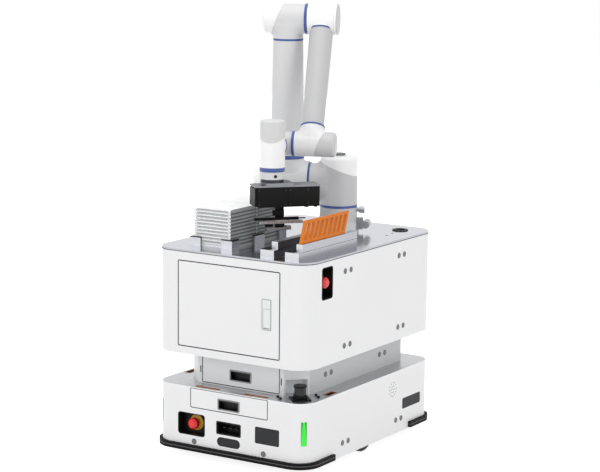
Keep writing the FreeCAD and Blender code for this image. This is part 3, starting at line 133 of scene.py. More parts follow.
def node(tree, kind, inputs=(), **settings):
    """Add one node: settings are its own properties, inputs pair a socket with a value or link."""
    made = tree.nodes.new(kind)
    for key, value in settings.items():
        setattr(made, key, value)
    for key, value in dict(inputs).items():
        if isinstance(value, bpy.types.NodeSocket):
            tree.links.new(value, made.inputs[key])
        else:
            made.inputs[key].default_value = value
    return made


def only_looks(tree):
    """A socket that is 1 for rays that show a thing, by eye, mirror or glass, and else 0."""
    rays = node(tree, "ShaderNodeLightPath")
    seen = rays.outputs["Is Camera Ray"]
    for kind in ("Is Glossy Ray", "Is Transmission Ray"):
        seen = node(tree, "ShaderNodeMath", {0: seen, 1: rays.outputs[kind]},
                    operation="MAXIMUM").outputs[0]
    return seen


ROOM_LIGHT = 0.6    # the room's own light on the robot, where 1 is white

world = bpy.data.worlds.new("studio room")
bpy.context.scene.world = world
world.use_nodes = True
tree = world.node_tree
strength = node(tree, "ShaderNodeMath", {0: only_looks(tree), 1: ROOM_LIGHT},
                operation="MAXIMUM")
room = tree.nodes["Background"]
room.inputs["Color"].default_value = (1, 1, 1, 1)
tree.links.new(strength.outputs[0], room.inputs["Strength"])
bpy.context.scene.view_settings.view_transform = "Standard"
print("lamps:", len(bpy.data.lights), "room light:", ROOM_LIGHT)

# %% [markdown]
# ## Colour
# Paint and plastic are matched in sRGB, but a shader works in linear light, so one
# function turns a hex value into linear numbers: a dark value divided by 12.92, or else
# ((c + 0.055) / 1.055) to the power 2.4.

# %% hex to linear
def linear(code):
    """sRGB hex, such as "c8cacc", as linear red, green, blue and alpha."""
    c = np.array([int(code[i:i + 2], 16) for i in (0, 2, 4)]) / 255
    low = c <= 0.04045
    return (*np.where(low, c / 12.92, ((c + 0.055) / 1.055) ** 2.4).tolist(), 1.0)


def plain(name, code, roughness, metallic=0.0, **more):
    """A material whose Principled shader has these settings, with its tree to build on."""
    made = bpy.data.materials.new(name)
    made.use_nodes = True
    shader = made.node_tree.nodes["Principled BSDF"]
    shader.inputs["Base Color"].default_value = linear(code)
    shader.inputs["Roughness"].default_value = roughness
    shader.inputs["Metallic"].default_value = metallic
    for key, value in more.items():
        shader.inputs[key.replace("_", " ")].default_value = value
    return made, made.node_tree, shader


# %% [markdown]
# ## Powder coat
# The covers are steel sheet with a baked powder coat. Up close it has a faint orange peel of
# about 2 mm, with a satin sheen that wanders a little. At this distance the peel is too fine
# to show, so it is drawn at 7 mm with a very small height, which breaks up the reflections
# as the real one does.

# %% powder-coated steel
def coated(name, code, roughness, peel=0.007, height=0.00008, drift=0.05):
    """Powder coat: noise of size peel bumps the surface; slow noise shifts the roughness."""
    made, tree, shader = plain(name, code, roughness)
    place = node(tree, "ShaderNodeTexCoord")
    fine = node(tree, "ShaderNodeTexNoise", {"Vector": place.outputs["Object"],
                                             "Scale": 1 / peel, "Detail": 2.0})
    slow = node(tree, "ShaderNodeTexNoise", {"Vector": place.outputs["Object"], "Scale": 4.0})
    sheen = node(tree, "ShaderNodeMapRange", {"Value": slow.outputs["Fac"], "From Min": 0.3,
                                              "From Max": 0.7, "To Min": roughness - drift,
                                              "To Max": roughness + drift})
    tree.links.new(sheen.outputs[0], shader.inputs["Roughness"])
    bump = node(tree, "ShaderNodeBump", {"Height": fine.outputs["Fac"], "Distance": height,
                                         "Strength": 0.6})
    tree.links.new(bump.outputs[0], shader.inputs["Normal"])
    return made


cover_paint = coated("white powder coat", "f1f1f2", 0.42)
pedestal_paint = coated("silver powder coat", "dfe0e1", 0.38)
# The pedestal's flat sides take a darker grey: painted shade, for light that does not reach them.
pedestal_side_shade = coated("silver powder coat, painted side shade", "c0c1c3", 0.38)
frame_paint = coated("black powder coat", "1f2022", 0.55)
arm_grey = coated("grey casting paint", "d8d8d9", 0.42, height=0.00005)
shin_grey = coated("forearm tube paint", "c0c0c1", 0.42, height=0.00005)
arm_deep = coated("deeper grey casting paint", "c8c8c9", 0.42, height=0.00005)
arm_light = coated("light casting paint", "e6e6e7", 0.34, height=0.00005)
arm_white = coated("white cover paint", "f9f9f9", 0.32, height=0.00004)

# %% [markdown]
# ## Moulded plastic
# Handles, recesses, caps and the gripper's case are moulded in a fine spark-eroded texture.
# The grain of the real mould is near 0.3 mm; here it is 3 mm so that it still breaks the
# highlights.

# %% moulded plastic
def moulded(name, code, roughness, grain=0.003, height=0.00006, **more):
    """Moulded plastic: Voronoi cells of size grain give a pebbled surface."""
    made, tree, shader = plain(name, code, roughness, **more)
    place = node(tree, "ShaderNodeTexCoord")
    cells = node(tree, "ShaderNodeTexVoronoi", {"Vector": place.outputs["Object"],
                                                "Scale": 1 / grain})
    bump = node(tree, "ShaderNodeBump", {"Height": cells.outputs["Distance"],
                                         "Distance": height, "Strength": 0.5})
    tree.links.new(bump.outputs[0], shader.inputs["Normal"])
    return made


black_abs = moulded("black textured abs", "0a0a0a", 0.5, Specular_IOR_Level=0.25)
case_black = moulded("satin black case", "040404", 0.42, Specular_IOR_Level=0.16)
# Also used as painted shade on the walls of the grille's holes.
smoke_plastic_and_hole_shade = moulded("smoked window plastic and painted hole shade", "313133", 0.5, height=0.00002,
                       Specular_IOR_Level=0.15)
scanner_glass = plain("smoked scanner glass", "040405", 0.12, Specular_IOR_Level=0.35)[0]
cap_grey = moulded("grey cap plastic", "6c6c6e", 0.5)
ring_blue = moulded("blue ring plastic", "3f5896", 0.4)
safety_yellow = moulded("yellow ring plastic", "d3a313", 0.4)
stop_red = moulded("red button plastic", "e0201c", 0.25, height=0.00002)
# A faint emission makes the plastic glow: a painted glow, on top of its translucency.
glowing_cassette_plastic = moulded("milk-white polypropylene, painted glow", "f6f8f8", 0.32, height=0.00003,
                           Subsurface_Weight=0.6, Subsurface_Scale=0.02,
                           Subsurface_Radius=(1, 1, 1), Emission_Color=(1, 1, 1, 1),
                           Emission_Strength=0.06)
# The cassette's side wall and its grooves are painted darker than its front: painted shade.
cassette_groove_shade = moulded("shaded cassette groove", "646968", 0.4, height=0.00003)
cassette_side_shade = moulded("cassette side, painted shade", "9da2a1", 0.3, height=0.00003)
bumper_rubber = moulded("bumper rubber", "060607", 0.6, Specular_IOR_Level=0.12)
tyre_rubber = moulded("polyurethane tyre", "0c0d0e", 0.6)
sign_orange = moulded("orange acrylic", "d87400", 0.42, height=0.00002,
                      Specular_IOR_Level=0.25)
slot_orange = moulded("orange trim plastic", "a9622f", 0.45)
black_rubber_and_gap_shade = moulded("black grommet rubber, also painted gap shade", "101011", 0.6)
battery_blue = moulded("battery case plastic", "2d3644", 0.5)

# %% [markdown]
# ## Lines and rims
# The bumper has a lighter line along its middle, a painted highlight, and the rail shows the joint
# between its ledge and its lip. Both are bands of height in which a second colour takes over. A
# moulded frame
# has a rim: its colour changes where a point comes nearer to the frame's edge than the rim's
# width, which is where the larger of the two distances from the middle, less the half size,
# passes minus the width.

# %% bands and rims
def two_tone(made, share, code):
    """Lay a second colour over a material's own where share, a socket, is 1."""
    tree = made.node_tree
    shader = tree.nodes["Principled BSDF"]
    own = tuple(shader.inputs["Base Color"].default_value)
    mix = node(tree, "ShaderNodeMix", {0: share, 6: own, 7: linear(code)}, data_type="RGBA")
    tree.links.new(mix.outputs[2], shader.inputs["Base Color"])
    return made


def banded(made, level, half, code):
    """Colour the band of heights within half of level."""
    tree = made.node_tree
    place = node(tree, "ShaderNodeTexCoord")
    height = node(tree, "ShaderNodeSeparateXYZ", {0: place.outputs["Object"]})
    near = node(tree, "ShaderNodeMath", {0: height.outputs["Z"], 1: level, 2: half},
                operation="COMPARE")
    return two_tone(made, near.outputs[0], code)


def rimmed(made, name, rim, code):
    """Colour the part of an upright frame that is more than rim inside its outer edge."""
    low, high = (np.array(corner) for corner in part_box(name))
    tree = made.node_tree
    place = node(tree, "ShaderNodeTexCoord")
    off = node(tree, "ShaderNodeVectorMath", {0: place.outputs["Object"],
                                              1: tuple((low + high) / 2)}, operation="SUBTRACT")
    off = node(tree, "ShaderNodeVectorMath", {0: off.outputs[0]}, operation="ABSOLUTE")
    off = node(tree, "ShaderNodeVectorMath", {0: off.outputs[0], 1: tuple((high - low) / 2)},
               operation="SUBTRACT")
    parts = node(tree, "ShaderNodeSeparateXYZ", {0: off.outputs[0]})
    reach = node(tree, "ShaderNodeMath", {0: parts.outputs["X"], 1: parts.outputs["Z"]},
                 operation="MAXIMUM")
    inside = node(tree, "ShaderNodeMath", {0: reach.outputs[0], 1: -rim}, operation="LESS_THAN")
    return two_tone(made, inside.outputs[0], code)


# %% [markdown]
# ## Brushed and polished metal
# The deck and the table are stainless sheet. The deck is brushed along the robot, which
# stretches each reflection; the table is polished, so its roughness is low and it mirrors,
# a little softly, whatever stands on it.

# %% metals
def brushed(name, code, roughness, grain=(0.25, 0.004, 0.004), height=0.00003):
    """Brushed metal: noise stretched to grain, in metres along X, Y and Z, for bump and sheen."""
    made, tree, shader = plain(name, code, roughness, metallic=1.0)
    place = node(tree, "ShaderNodeTexCoord")
    stretch = node(tree, "ShaderNodeMapping", {"Vector": place.outputs["Object"],
                                               "Scale": [1 / g for g in grain]})
    lines = node(tree, "ShaderNodeTexNoise", {"Vector": stretch.outputs[0], "Scale": 1.0,
                                              "Detail": 3.0})
    sheen = node(tree, "ShaderNodeMapRange", {"Value": lines.outputs["Fac"], "From Min": 0.3,
                                              "From Max": 0.7, "To Min": roughness * 0.8,
                                              "To Max": roughness * 1.25})
    tree.links.new(sheen.outputs[0], shader.inputs["Roughness"])
    bump = node(tree, "ShaderNodeBump", {"Height": lines.outputs["Fac"], "Distance": height,
                                         "Strength": 0.4})
    tree.links.new(bump.outputs[0], shader.inputs["Normal"])
    return made


deck_steel = brushed("brushed deck steel", "c9cacc", 0.34, grain=(0.004, 0.25, 0.004))
table_mirror = brushed("polished table steel", "bcbdc6", 0.13, grain=(0.05, 0.05, 0.05),
                       height=0.000004)
anodised = brushed("anodised aluminium", "b6b7ba", 0.36, grain=(0.003, 0.2, 0.003))
# A darker copy of the anodised aluminium for sides and edges: painted shade.
side_shade_aluminium = brushed("aluminium side, painted shade", "a2a3a8", 0.3, grain=(0.003, 0.2, 0.003))
machined = brushed("machined aluminium", "bfc0c2", 0.3, grain=(0.002, 0.002, 0.1))
black_steel = brushed("blackened steel screw", "2a2b2d", 0.42, grain=(0.003, 0.003, 0.003))
satin_metal = brushed("satin grey aluminium", "85878a", 0.5, grain=(0.004, 0.004, 0.004))
dark_steel = brushed("dark plated steel", "3c3d40", 0.4, grain=(0.02, 0.02, 0.004))
zinc = brushed("zinc-plated steel", "a9abae", 0.35)

# %% [markdown]
# ## Lamp lens
# The corner lamps are diffusing acrylic, lit green from behind. The light is even along the
# strip, so the shader simply glows, with a clear gloss on top. The strip's cut edges are left
# unlit, in a deeper green.

# %% glowing lens
lamp_green = plain("lit green lens", "10b81c", 0.25, Emission_Color=linear("20f02a"),
                   Emission_Strength=0.5)[0]
lamp_edge = plain("unlit green lens edge", "18a522", 0.3)[0]

# %% [markdown]
# ## Dressing the solids
# One solid often carries several finishes, such as a moulded recess with a yellow ring in
# it. A finish is laid on the triangles whose middle lies inside a region, and the region is
# a function of x, y and z, so no mesh has to change.

# %% paint by region
def dress(name, *finishes):
    """Give a node one material, then lay (material, region) pairs over parts of it.

    A region is told each triangle's middle and the way it faces, as two lists of x, y, z.
    """
    mesh = nodes[name].data
    mesh.materials.clear()
    mesh.materials.append(finishes[0])
    count = len(mesh.polygons)
    told = []
    for fact in ("center", "normal"):
        values = np.empty(count * 3)
        mesh.polygons.foreach_get(fact, values)
        told.append(values.reshape(-1, 3).T)
    index = np.zeros(count, int)
    for number, (material, region) in enumerate(finishes[1:], 1):
        mesh.materials.append(material)
        index[region(*told)] = number
    mesh.polygons.foreach_set("material_index", index)


for name in ("chassis_shell", "cabinet_shell", "cabinet_door", "service_flap"):
    dress(name, cover_paint)
for name in ("pedestal_shell", "pedestal_drawer"):
    # Faces that look straight to either side get the darker grey, which is painted shade.
    dress(name, pedestal_paint, (pedestal_side_shade, lambda p, n: abs(n[0]) > 0.99))
for name, material in {
    "chassis_frame": frame_paint, "deck_plate": deck_steel,
    "bumpers": bumper_rubber, "sensor_windows": smoke_plastic_and_hole_shade,
    "screw_caps": cap_grey, "deck_slot_trims": slot_orange, "battery_pack": battery_blue,
    "drive_gearmotors": machined, "drawer_rails": zinc, "arm_controller": frame_paint,
    "cable_grommet": black_rubber_and_gap_shade, "arm_base": arm_deep, "base_ring": ring_blue,
    "base_connectors": zinc, "caster_fork_front": zinc, "caster_fork_rear": zinc,
    "caster_wheel_front": tyre_rubber, "caster_wheel_rear": tyre_rubber,
    "shoulder_housing": arm_deep,
    "upper_arm_casting": arm_grey, "upper_arm_covers": arm_white,
    "upper_arm_rings": ring_blue, "forearm_rings": ring_blue, "wrist1_housing": arm_grey,
    "wrist2_housing": arm_white, "wrist2_cover": arm_grey, "wrist_rings": ring_blue,
    "gripper_housing": case_black, "lower_jaw": machined,
}.items():
    dress(name, material)
print("dressed in one finish each")

# %% [markdown]
# ## Base and cabinet
# From here on one node has several finishes. The wheel's tyre is everything outside the hub's
# radius. The handles are dark inside a grey rim, the latch is white inside a grey rim of painted
# shade, and the port's lower strip is smoked. The bumper has a lighter line along its middle, a
# painted highlight.

# %% wheels, handles, latch and bumpers
AXLE, HUB = 0.08, 0.0661    # height of the drive axle, and the hub's radius
for side in ("left", "right"):
    dress("drive_wheel_" + side, machined,
          (tyre_rubber, lambda p, n: np.hypot(p[1], p[2] - AXLE) > HUB))

BEZEL_RIM, LATCH_RIM, BEZEL_DEPTH = 0.0045, 0.0035, 0.003    # two rim widths, and a depth
for name in ("flap_handle", "drawer_handle"):
    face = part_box(name)[0][1] + BEZEL_DEPTH
    bezel = rimmed(moulded("grey bezel plastic", "8a8b8d", 0.45), name, BEZEL_RIM, "0c0c0d")
    dress(name, bezel, (black_abs, lambda p, n, face=face: p[1] > face))
# The latch is white, with a grey rim that is painted shade along its edges.
latch_with_rim_shade = rimmed(coated("latch paint, painted rim shade", "aeb2b2", 0.3, height=0.00002), "latch_bezel",
                     LATCH_RIM, "eceeee")
for name in ("latch_bezel", "latch_paddle"):
    dress(name, latch_with_rim_shade)

# A lighter line at this height along the bumper is a painted highlight.
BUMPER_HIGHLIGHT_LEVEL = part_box("bumpers")[0][2] + 0.0125
banded(bumper_rubber, BUMPER_HIGHLIGHT_LEVEL, 0.0016, "5c5d60")
PORT_STRIP_TOP = 0.1135    # height of the lower strip's upper edge
dress("charging_port", black_abs, (smoke_plastic_and_hole_shade, lambda p, n: p[2] < PORT_STRIP_TOP))
print("bumper highlight at", round(BUMPER_HIGHLIGHT_LEVEL, 4), "m")

# %% [markdown]
# ## Stop buttons
# A stop is a red mushroom head over a yellow ring, in a black moulding. The ring is the disc
# in front of its seat, and the head is the front of the button, told by its depth.

# %% stop buttons
RING, RING_BACK, HEAD = 0.0312, 0.0032, 0.0275    # radius, depth of its seat, length of a head
front_low, front_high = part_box("estop_recess")
stop_x, stop_z = (front_low[0] + front_high[0]) / 2, (front_low[2] + front_high[2]) / 2
dress("estop_recess", black_abs,
      (safety_yellow, lambda p, n: (np.hypot(p[0] - stop_x, p[2] - stop_z) < RING)
       & (p[1] < front_high[1] - RING_BACK)))
side_low, side_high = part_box("estop_side_panel")
panel_y, panel_z = (side_low[1] + side_high[1]) / 2, (side_low[2] + side_high[2]) / 2
dress("estop_side_panel", black_abs,
      (safety_yellow, lambda p, n: (np.hypot(p[1] - panel_y, p[2] - panel_z) < RING)
       & (p[0] > side_low[0] + RING_BACK)))
front_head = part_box("estop_front_button")[0][1] + HEAD
dress("estop_front_button", black_abs, (stop_red, lambda p, n: p[1] < front_head))
side_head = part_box("estop_side_button")[1][0] - HEAD
dress("estop_side_button", black_abs, (stop_red, lambda p, n: p[0] > side_head))

# %% [markdown]
# ## Scanners, lamps and grilles
# A laser scanner sees through a smoked band round its head, so the band is a range of heights
# above the deck. A corner lamp is lit on its face and unlit at its ends. A grille is painted
# like the cover, and what doesn't face outwards, such as the walls of its holes, is dark as painted
# shade.

# %% scanners, lamps and grilles
GLASS_LOW, GLASS_HIGH = 0.019, 0.046    # the scanner's window, above the deck
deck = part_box("deck_plate")[1][2]
dress("lidar_scanners", case_black,
      (scanner_glass, lambda p, n: (p[2] > deck + GLASS_LOW) & (p[2] < deck + GLASS_HIGH)))

LAMP_EDGE = 0.003    # width of a lamp's unlit edge
lamp_side, lamp_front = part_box("light_strips")[1][:2]
dress("light_strips", lamp_green,
      (lamp_edge, lambda p, n: (abs(p[0]) > lamp_side - LAMP_EDGE) | (abs(n[2]) > 0.5)
       | (abs(p[1]) > lamp_front - LAMP_EDGE)))
# Faces of the grille that don't look outwards, the walls of its holes, are dark: painted shade.
dress("speaker_grilles", cover_paint, (smoke_plastic_and_hole_shade, lambda p, n: abs(n[0]) < 0.5))
print("dressed the base")

# %% [markdown]
# ## Table
# The top plate is polished on its face, and its edge is painted darker as shade. Rails and locators
# are anodised with their sides painted darker as shade, a black pad where a part rests, and a thin
# joint line between ledge and lip. A cassette's side wall is painted greyer than its translucent
# front as shade, and its grooves carry painted shade.

# %% plate, rails and cassettes
JOINT, PAD_TOP, LOCATOR_PAD = 0.032, 0.0345, 0.0331    # heights above the table
PADS = (0.1612, 0.236, 0.2702)    # x where the black pads of the rails end, start and end
RIB, SIDE_WALL = 0.0025, 0.0045    # depths from the cassette's right side
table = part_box("top_plate")[1][2]
# Sides of the rails and locators, and the plate's edge, take the darker aluminium as painted shade;
# the dark band on it is the real joint line.
banded(side_shade_aluminium, table + JOINT, 0.0007, "3b3c40")
dress("top_plate", table_mirror, (side_shade_aluminium, lambda p, n: abs(n[2]) < 0.7))
dress("cassette_locators", anodised, (side_shade_aluminium, lambda p, n: n[0] > 0.9),
      (case_black, lambda p, n: p[2] > table + LOCATOR_PAD))
dress("fixture_rails", anodised, (side_shade_aluminium, lambda p, n: abs(n[0]) > 0.9),
      (case_black, lambda p, n: (p[2] > table + JOINT + 0.0001) & (p[2] < table + PAD_TOP)
       & ((p[0] < PADS[0]) | ((p[0] > PADS[1]) & (p[0] < PADS[2])))))
# The right side wall and its grooves get the two greys, which are painted shade.
for name in ("cassette_1", "cassette_2"):
    dress(name, glowing_cassette_plastic,
          (cassette_side_shade, lambda p, n, edge=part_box(name)[1][0]: p[0] > edge - SIDE_WALL),
          (cassette_groove_shade, lambda p, n, edge=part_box(name)[1][0]: (p[0] > edge - RIB)
           & (p[0] < edge - 0.0003)))
print("dressed the table")

# %% [markdown]
# ## Forearm
# The forearm is one casting: white at the head, grey along the tube and light at the foot. The
# borders are planes square to the forearm, so they are told by the distance down it, and the
# head's own drum by the distance from the elbow's axis.

# %% forearm
elbow = np.array([0.055, 0.2096, table + 0.8495])
tilt = math.radians(31)
swing = math.radians(24)
shin = np.array([math.sin(tilt) * math.sin(swing), -math.sin(tilt) * math.cos(swing),
                 -math.cos(tilt)])
pin = np.array([math.cos(swing), math.sin(swing), 0.0])
TUBE_FROM, TUBE_TO = 0.0495, 0.475    # where the grey tube starts and ends, down the forearm
LID_RIM = 0.0045    # thickness of the lid's deeper grey face


def down_forearm(p):
    """Distance of each point from the elbow's axis, measured down the forearm."""
    return (p.T - elbow) @ shin


def off_axis(p):
    """Distance of each point from the elbow's axis, in any direction square to it."""
    along = (p.T - elbow) @ pin
    return np.linalg.norm(p.T - elbow - along[:, None] * pin, axis=1)


head_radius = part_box("forearm_casting")[1][2] - elbow[2] + 0.0003
dress("forearm_casting", arm_white,
      (shin_grey, lambda p, n: (down_forearm(p) > TUBE_FROM) & (down_forearm(p) < TUBE_TO)
       & (off_axis(p) > head_radius)),
      (arm_light, lambda p, n: down_forearm(p) > TUBE_TO))
lid_face = max((np.array(v.co) - elbow) @ pin for v in nodes["forearm_covers"].data.vertices
               if v.co[2] > elbow[2])
dress("forearm_covers", arm_deep,
      (arm_white, lambda p, n: (p[2] > elbow[2] - 0.1)
       & ((p.T - elbow) @ pin < lid_face - LID_RIM)))
print("lid face", round(float(lid_face), 4), "head radius", round(float(head_radius), 4))

# %% [markdown]
# ## Shoulder, flange and gripper
# The shoulder's white cover has a grey cap, the flange ends in a dark steel disc, and the
# gripper's post is black. So is the upper jaw, above and below its bright plate. Each border
# is level, so a height tells it.

# %% shoulder, flange and gripper
CAP = 0.0075    # thickness of the grey cap on the shoulder
DISC_TOP, POST_TOP, JAW_LOW, JAW_HIGH = 0.2642, 0.1441, 0.0905, 0.1035    # above the table
cover_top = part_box("shoulder_cover")[1][2]
dress("shoulder_cover", arm_white, (cap_grey, lambda p, n: p[2] > cover_top - CAP))
dress("tool_flange", arm_grey, (dark_steel, lambda p, n: p[2] < table + DISC_TOP))
dress("gripper_frame", satin_metal, (case_black, lambda p, n: p[2] < table + POST_TOP))
dress("upper_jaw", machined,
      (case_black, lambda p, n: (p[2] > table + JAW_HIGH) | (p[2] < table + JAW_LOW)))
print("dressed the arm and gripper")

# %% [markdown]
# ## Skins from grids
# Every added piece but the nameboard is a surface over a grid: each row of points runs once
# round the piece, and the rows follow one another along it. Neighbouring points make a quad,
# each row closes on itself, and the last row either meets the first or has shrunk to a point,
# so the skin is always shut. Many equal pieces are one stack of grids, worked out at once.

# %% grid to mesh
def finished(name, mesh, material, body):
    """Merge points that fall together, turn the faces outwards, and set the piece on its body."""
    shape = bmesh.new()
    shape.from_mesh(mesh)
    bmesh.ops.remove_doubles(shape, verts=shape.verts, dist=1e-7)
    bmesh.ops.recalc_face_normals(shape, faces=shape.faces)
    shape.to_mesh(mesh)
    shape.free()
    mesh.polygons.foreach_set("use_smooth", np.ones(len(mesh.polygons), bool))
    mesh.set_sharp_from_angle(angle=math.radians(35))
    mesh.materials.append(material)
    piece = bpy.data.objects.new(name, mesh)
    bpy.context.scene.collection.objects.link(piece)
    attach(piece, body)
    print(name, len(mesh.polygons), "faces on", body)
    return piece


def skin(name, grids, material, body, ring=False):
    """One piece from grids of points with the shape (pieces, rows, columns, 3).

    Point (i, j) is joined to (i, j + 1) and (i + 1, j), counted round the columns, and round
    the rows too if ring. Points that fall together are merged and the faces turned outwards.
    """
    grids = np.asarray(grids, float)
    count, rows, columns, _ = grids.shape
    g, i, j = np.meshgrid(np.arange(count), np.arange(rows if ring else rows - 1),
                          np.arange(columns), indexing="ij")
    k, m = (i + 1) % rows, (j + 1) % columns
    corners = [(g * rows + row) * columns + column for row, column in
               ((i, j), (i, m), (k, m), (k, j))]
    mesh = bpy.data.meshes.new(name)
    mesh.from_pydata(grids.reshape(-1, 3).tolist(), [],
                     np.stack(corners, axis=-1).reshape(-1, 4).tolist())
    return finished(name, mesh, material, body)


def rounded_loop(a, b, r, steps=5):
    """A rectangle of half sides a and b with corners of radius r, as points (u, v).

    Each corner is a quarter turn about its own centre, at a - r and b - r from the middle.
    """
    turn = np.radians(90 * np.arange(4)[:, None] + np.linspace(0, 90, steps + 1))
    across = np.sign(np.cos(turn.mean(axis=1)))[:, None] * (a - r)
    along = np.sign(np.sin(turn.mean(axis=1)))[:, None] * (b - r)
    return np.stack([across + r * np.cos(turn), along + r * np.sin(turn)], axis=-1).reshape(-1, 2)


def loft(loops, levels, frame, centre):
    """Stack flat loops at levels along the third axis of a frame of three unit rows."""
    flat = np.concatenate([loops, np.broadcast_to(np.reshape(levels, (-1, 1, 1)),
                                                  (*loops.shape[:2], 1))], axis=-1)
    return flat @ np.asarray(frame) + centre


# %% [markdown]
# ## Seals
# The door, the flap and the drawer close against black rubber strips, which is why each
# panel shows a thin dark outline. A strip is a frame of rounded rectangles: it fills the gap
# and laps a little way over the face outside it, so the panel itself swings free.

# %% door, flap and drawer seals
FACING_FRONT = ((1, 0, 0), (0, 0, 1), (0, -1, 0))


def seal(name, panel_name, back, lip, roof=1.0, gap=0.0024, clear=0.0002, radius=0.002):
    """A rectangular strip round a panel's edge: six loops joined in a ring.

    It fills the gap, from clear to gap outside the panel, and laps over the frame's face by
    lip, 0.5 mm proud. No point is let above the panel's top by more than roof.
    """
    low, high = (np.array(corner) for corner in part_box(panel_name))
    half = (high - low) / 2
    middle = (low + high) / 2
    middle[1] = low[1]
    sizes = np.array([clear, clear, gap + lip, gap + lip, gap, gap])
    loops = np.stack([rounded_loop(half[0] + d, half[2] + d, radius + d) for d in sizes])
    loops[..., 1] = np.minimum(loops[..., 1], half[2] + roof)
    levels = np.array([-back, 0.0005, 0.0005, 0.0001, 0.0001, -back])
    return skin(name, loft(loops, levels, FACING_FRONT, middle)[None], black_rubber_and_gap_shade, "platform",
                ring=True)


def shadow_gap_cord(name, plate_name, radius, out, thick):
    """A flat cord round a plate's lower edge: the plate's rounded plan, thick high, out proud."""
    low, high = (np.array(corner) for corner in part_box(plate_name))
    half = (high - low) / 2
    middle = (low + high) / 2
    middle[2] = low[2]
    sizes = np.array([out, out, -0.004, -0.004])
    loops = np.stack([rounded_loop(half[0] + d, half[1] + d, radius + d, 12) for d in sizes])
    levels = np.array([-thick, 0, 0, -thick]) + thick / 2
    return skin(name, loft(loops, levels, np.eye(3), middle)[None], black_rubber_and_gap_shade, "platform",
                ring=True)


seal("door_seal", "cabinet_door", 0.006, 0.0016)
seal("flap_seal", "service_flap", 0.005, 0.0006, roof=0.0022)
seal("drawer_seal", "pedestal_drawer", 0.004, 0.001)
# A black cord under the top plate's edge: painted shade for the gap below the plate.
shadow_gap_cord("table_shadow_gap_cord", "top_plate", 0.084, 0.0006, 0.0022)

# %% [markdown]
# ## Trays in the cassettes
# Each cassette is loaded: a thin white tray lies in every pair of grooves, and its front edge
# makes one bar of the striped front. A tray is a rounded rectangle, 4 mm high, that shrinks
# to a point above and below.

# %% trays
def trays(name, cassette, body, count=10, first=0.01025, pitch=0.0135, thick=0.004, inset=0.0095):
    """Flat plates, a pitch apart, inset from the sides, 1 mm from the front, 9 from the rear."""
    low, high = (np.array(corner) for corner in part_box(cassette))
    half = (high - low) / 2
    full = rounded_loop(half[0] - inset, half[1] - 0.005, 0.004)
    rim = rounded_loop(half[0] - inset - 0.0006, half[1] - 0.0056, 0.0034)
    loops = np.stack([rim * 0, rim, full, full, rim, rim * 0])
    levels = np.array([0, 0, 0.0006, thick - 0.0006, thick, thick])
    one = loft(loops, levels, np.eye(3), (low + high) / 2 * (1, 1, 0) - (0, 0.004, 0))
    lift = low[2] + first + pitch * np.arange(count)
    return skin(name, one + lift[:, None, None, None] * np.array([0, 0, 1]), glowing_cassette_plastic,
                body)


trays("cassette_trays_1", "cassette_1", "cassette_front")
trays("cassette_trays_2", "cassette_2", "cassette_rear")

# %% [markdown]
# ## Socket screws
# A cap screw is a turned head with a hexagonal socket. Round the head the radius is constant;
# inside the socket the radius of a hexagon is its flat's distance divided by the cosine of
# the angle from the middle of the nearest flat.

# %% screws
def screws(name, spots, axis, radius, height, material, body):
    """Cap screws on spots, standing along axis: rows of (radius, height), the last in a socket."""
    axis = np.asarray(axis, float) / np.linalg.norm(axis)
    first = np.cross(axis, (0, 0, 1) if abs(axis[2]) < 0.9 else (1, 0, 0))
    first /= np.linalg.norm(first)
    frame = np.stack([first, np.cross(axis, first), axis])
    edge, key = 0.08 * radius, 0.52 * radius
    r = np.array([0, radius, radius, radius - edge, key * 1.25, key, key, 0])
    z = np.array([0, 0, height - edge, height, height, height - 0.6 * edge, 0.45 * height,
                  0.45 * height])
    turn = np.linspace(0, 2 * math.pi, 36, endpoint=False)
    hexagon = math.cos(math.pi / 6) / np.cos(turn % (math.pi / 3) - math.pi / 6)
    reach = r[:, None] * np.where(np.arange(8)[:, None] > 4, hexagon, 1.0)
    loops = np.stack([reach * np.cos(turn), reach * np.sin(turn)], axis=-1)
    return skin(name, loft(loops, z, frame, 0.0) + np.reshape(spots, (-1, 1, 1, 3)), material,
                body)


# The deck's screws stand by the scanners and are given from its front right corner.
deck_corner = np.array(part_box("deck_plate")[1]) * (1, -1, 1)
near = deck_corner + np.array([(-0.055, 0.157, 0), (-0.031, 0.136, 0), (-0.162, 0.058, 0),
                               (-0.136, 0.034, 0)])
screws("deck_screws", np.concatenate([near, near * (-1, -1, 1)]), (0, 0, 1), 0.0055, 0.006,
       black_steel, "platform")

plate_corner = np.array(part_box("top_plate")[1])
screws("table_screws", plate_corner + np.array([(-0.088, -0.249, 0), (-0.093, -0.195, 0)]),
       (0, 0, 1), 0.005, 0.0004, black_steel, "platform")

base_low, base_high = (np.array(corner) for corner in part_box("base_ring"))
FLANGE, BOLT_CIRCLE = 0.0118, 0.086    # thickness of the arm's foot, radius of its bolts
arm_foot = np.array([*(base_low + base_high)[:2] / 2, table + FLANGE])
spread = swing + np.radians([60, 120, 240, 300])
screws("arm_base_bolts",
       arm_foot + BOLT_CIRCLE * np.stack([np.cos(spread), np.sin(spread), 0 * spread], axis=-1),
       (0, 0, 1), 0.0065, 0.008, zinc, "platform")

# %% [markdown]
# ## Orange nameboard
# A slanted board of orange acrylic stands on the right rail. It is cut through by a row of
# slanted slots, so it reads as a plain fence. The board is a flat grid of cells with the slot
# cells left out; each cell that borders a gap or the outline gets a wall of the board's
# thickness, and a bevel rounds all its edges.

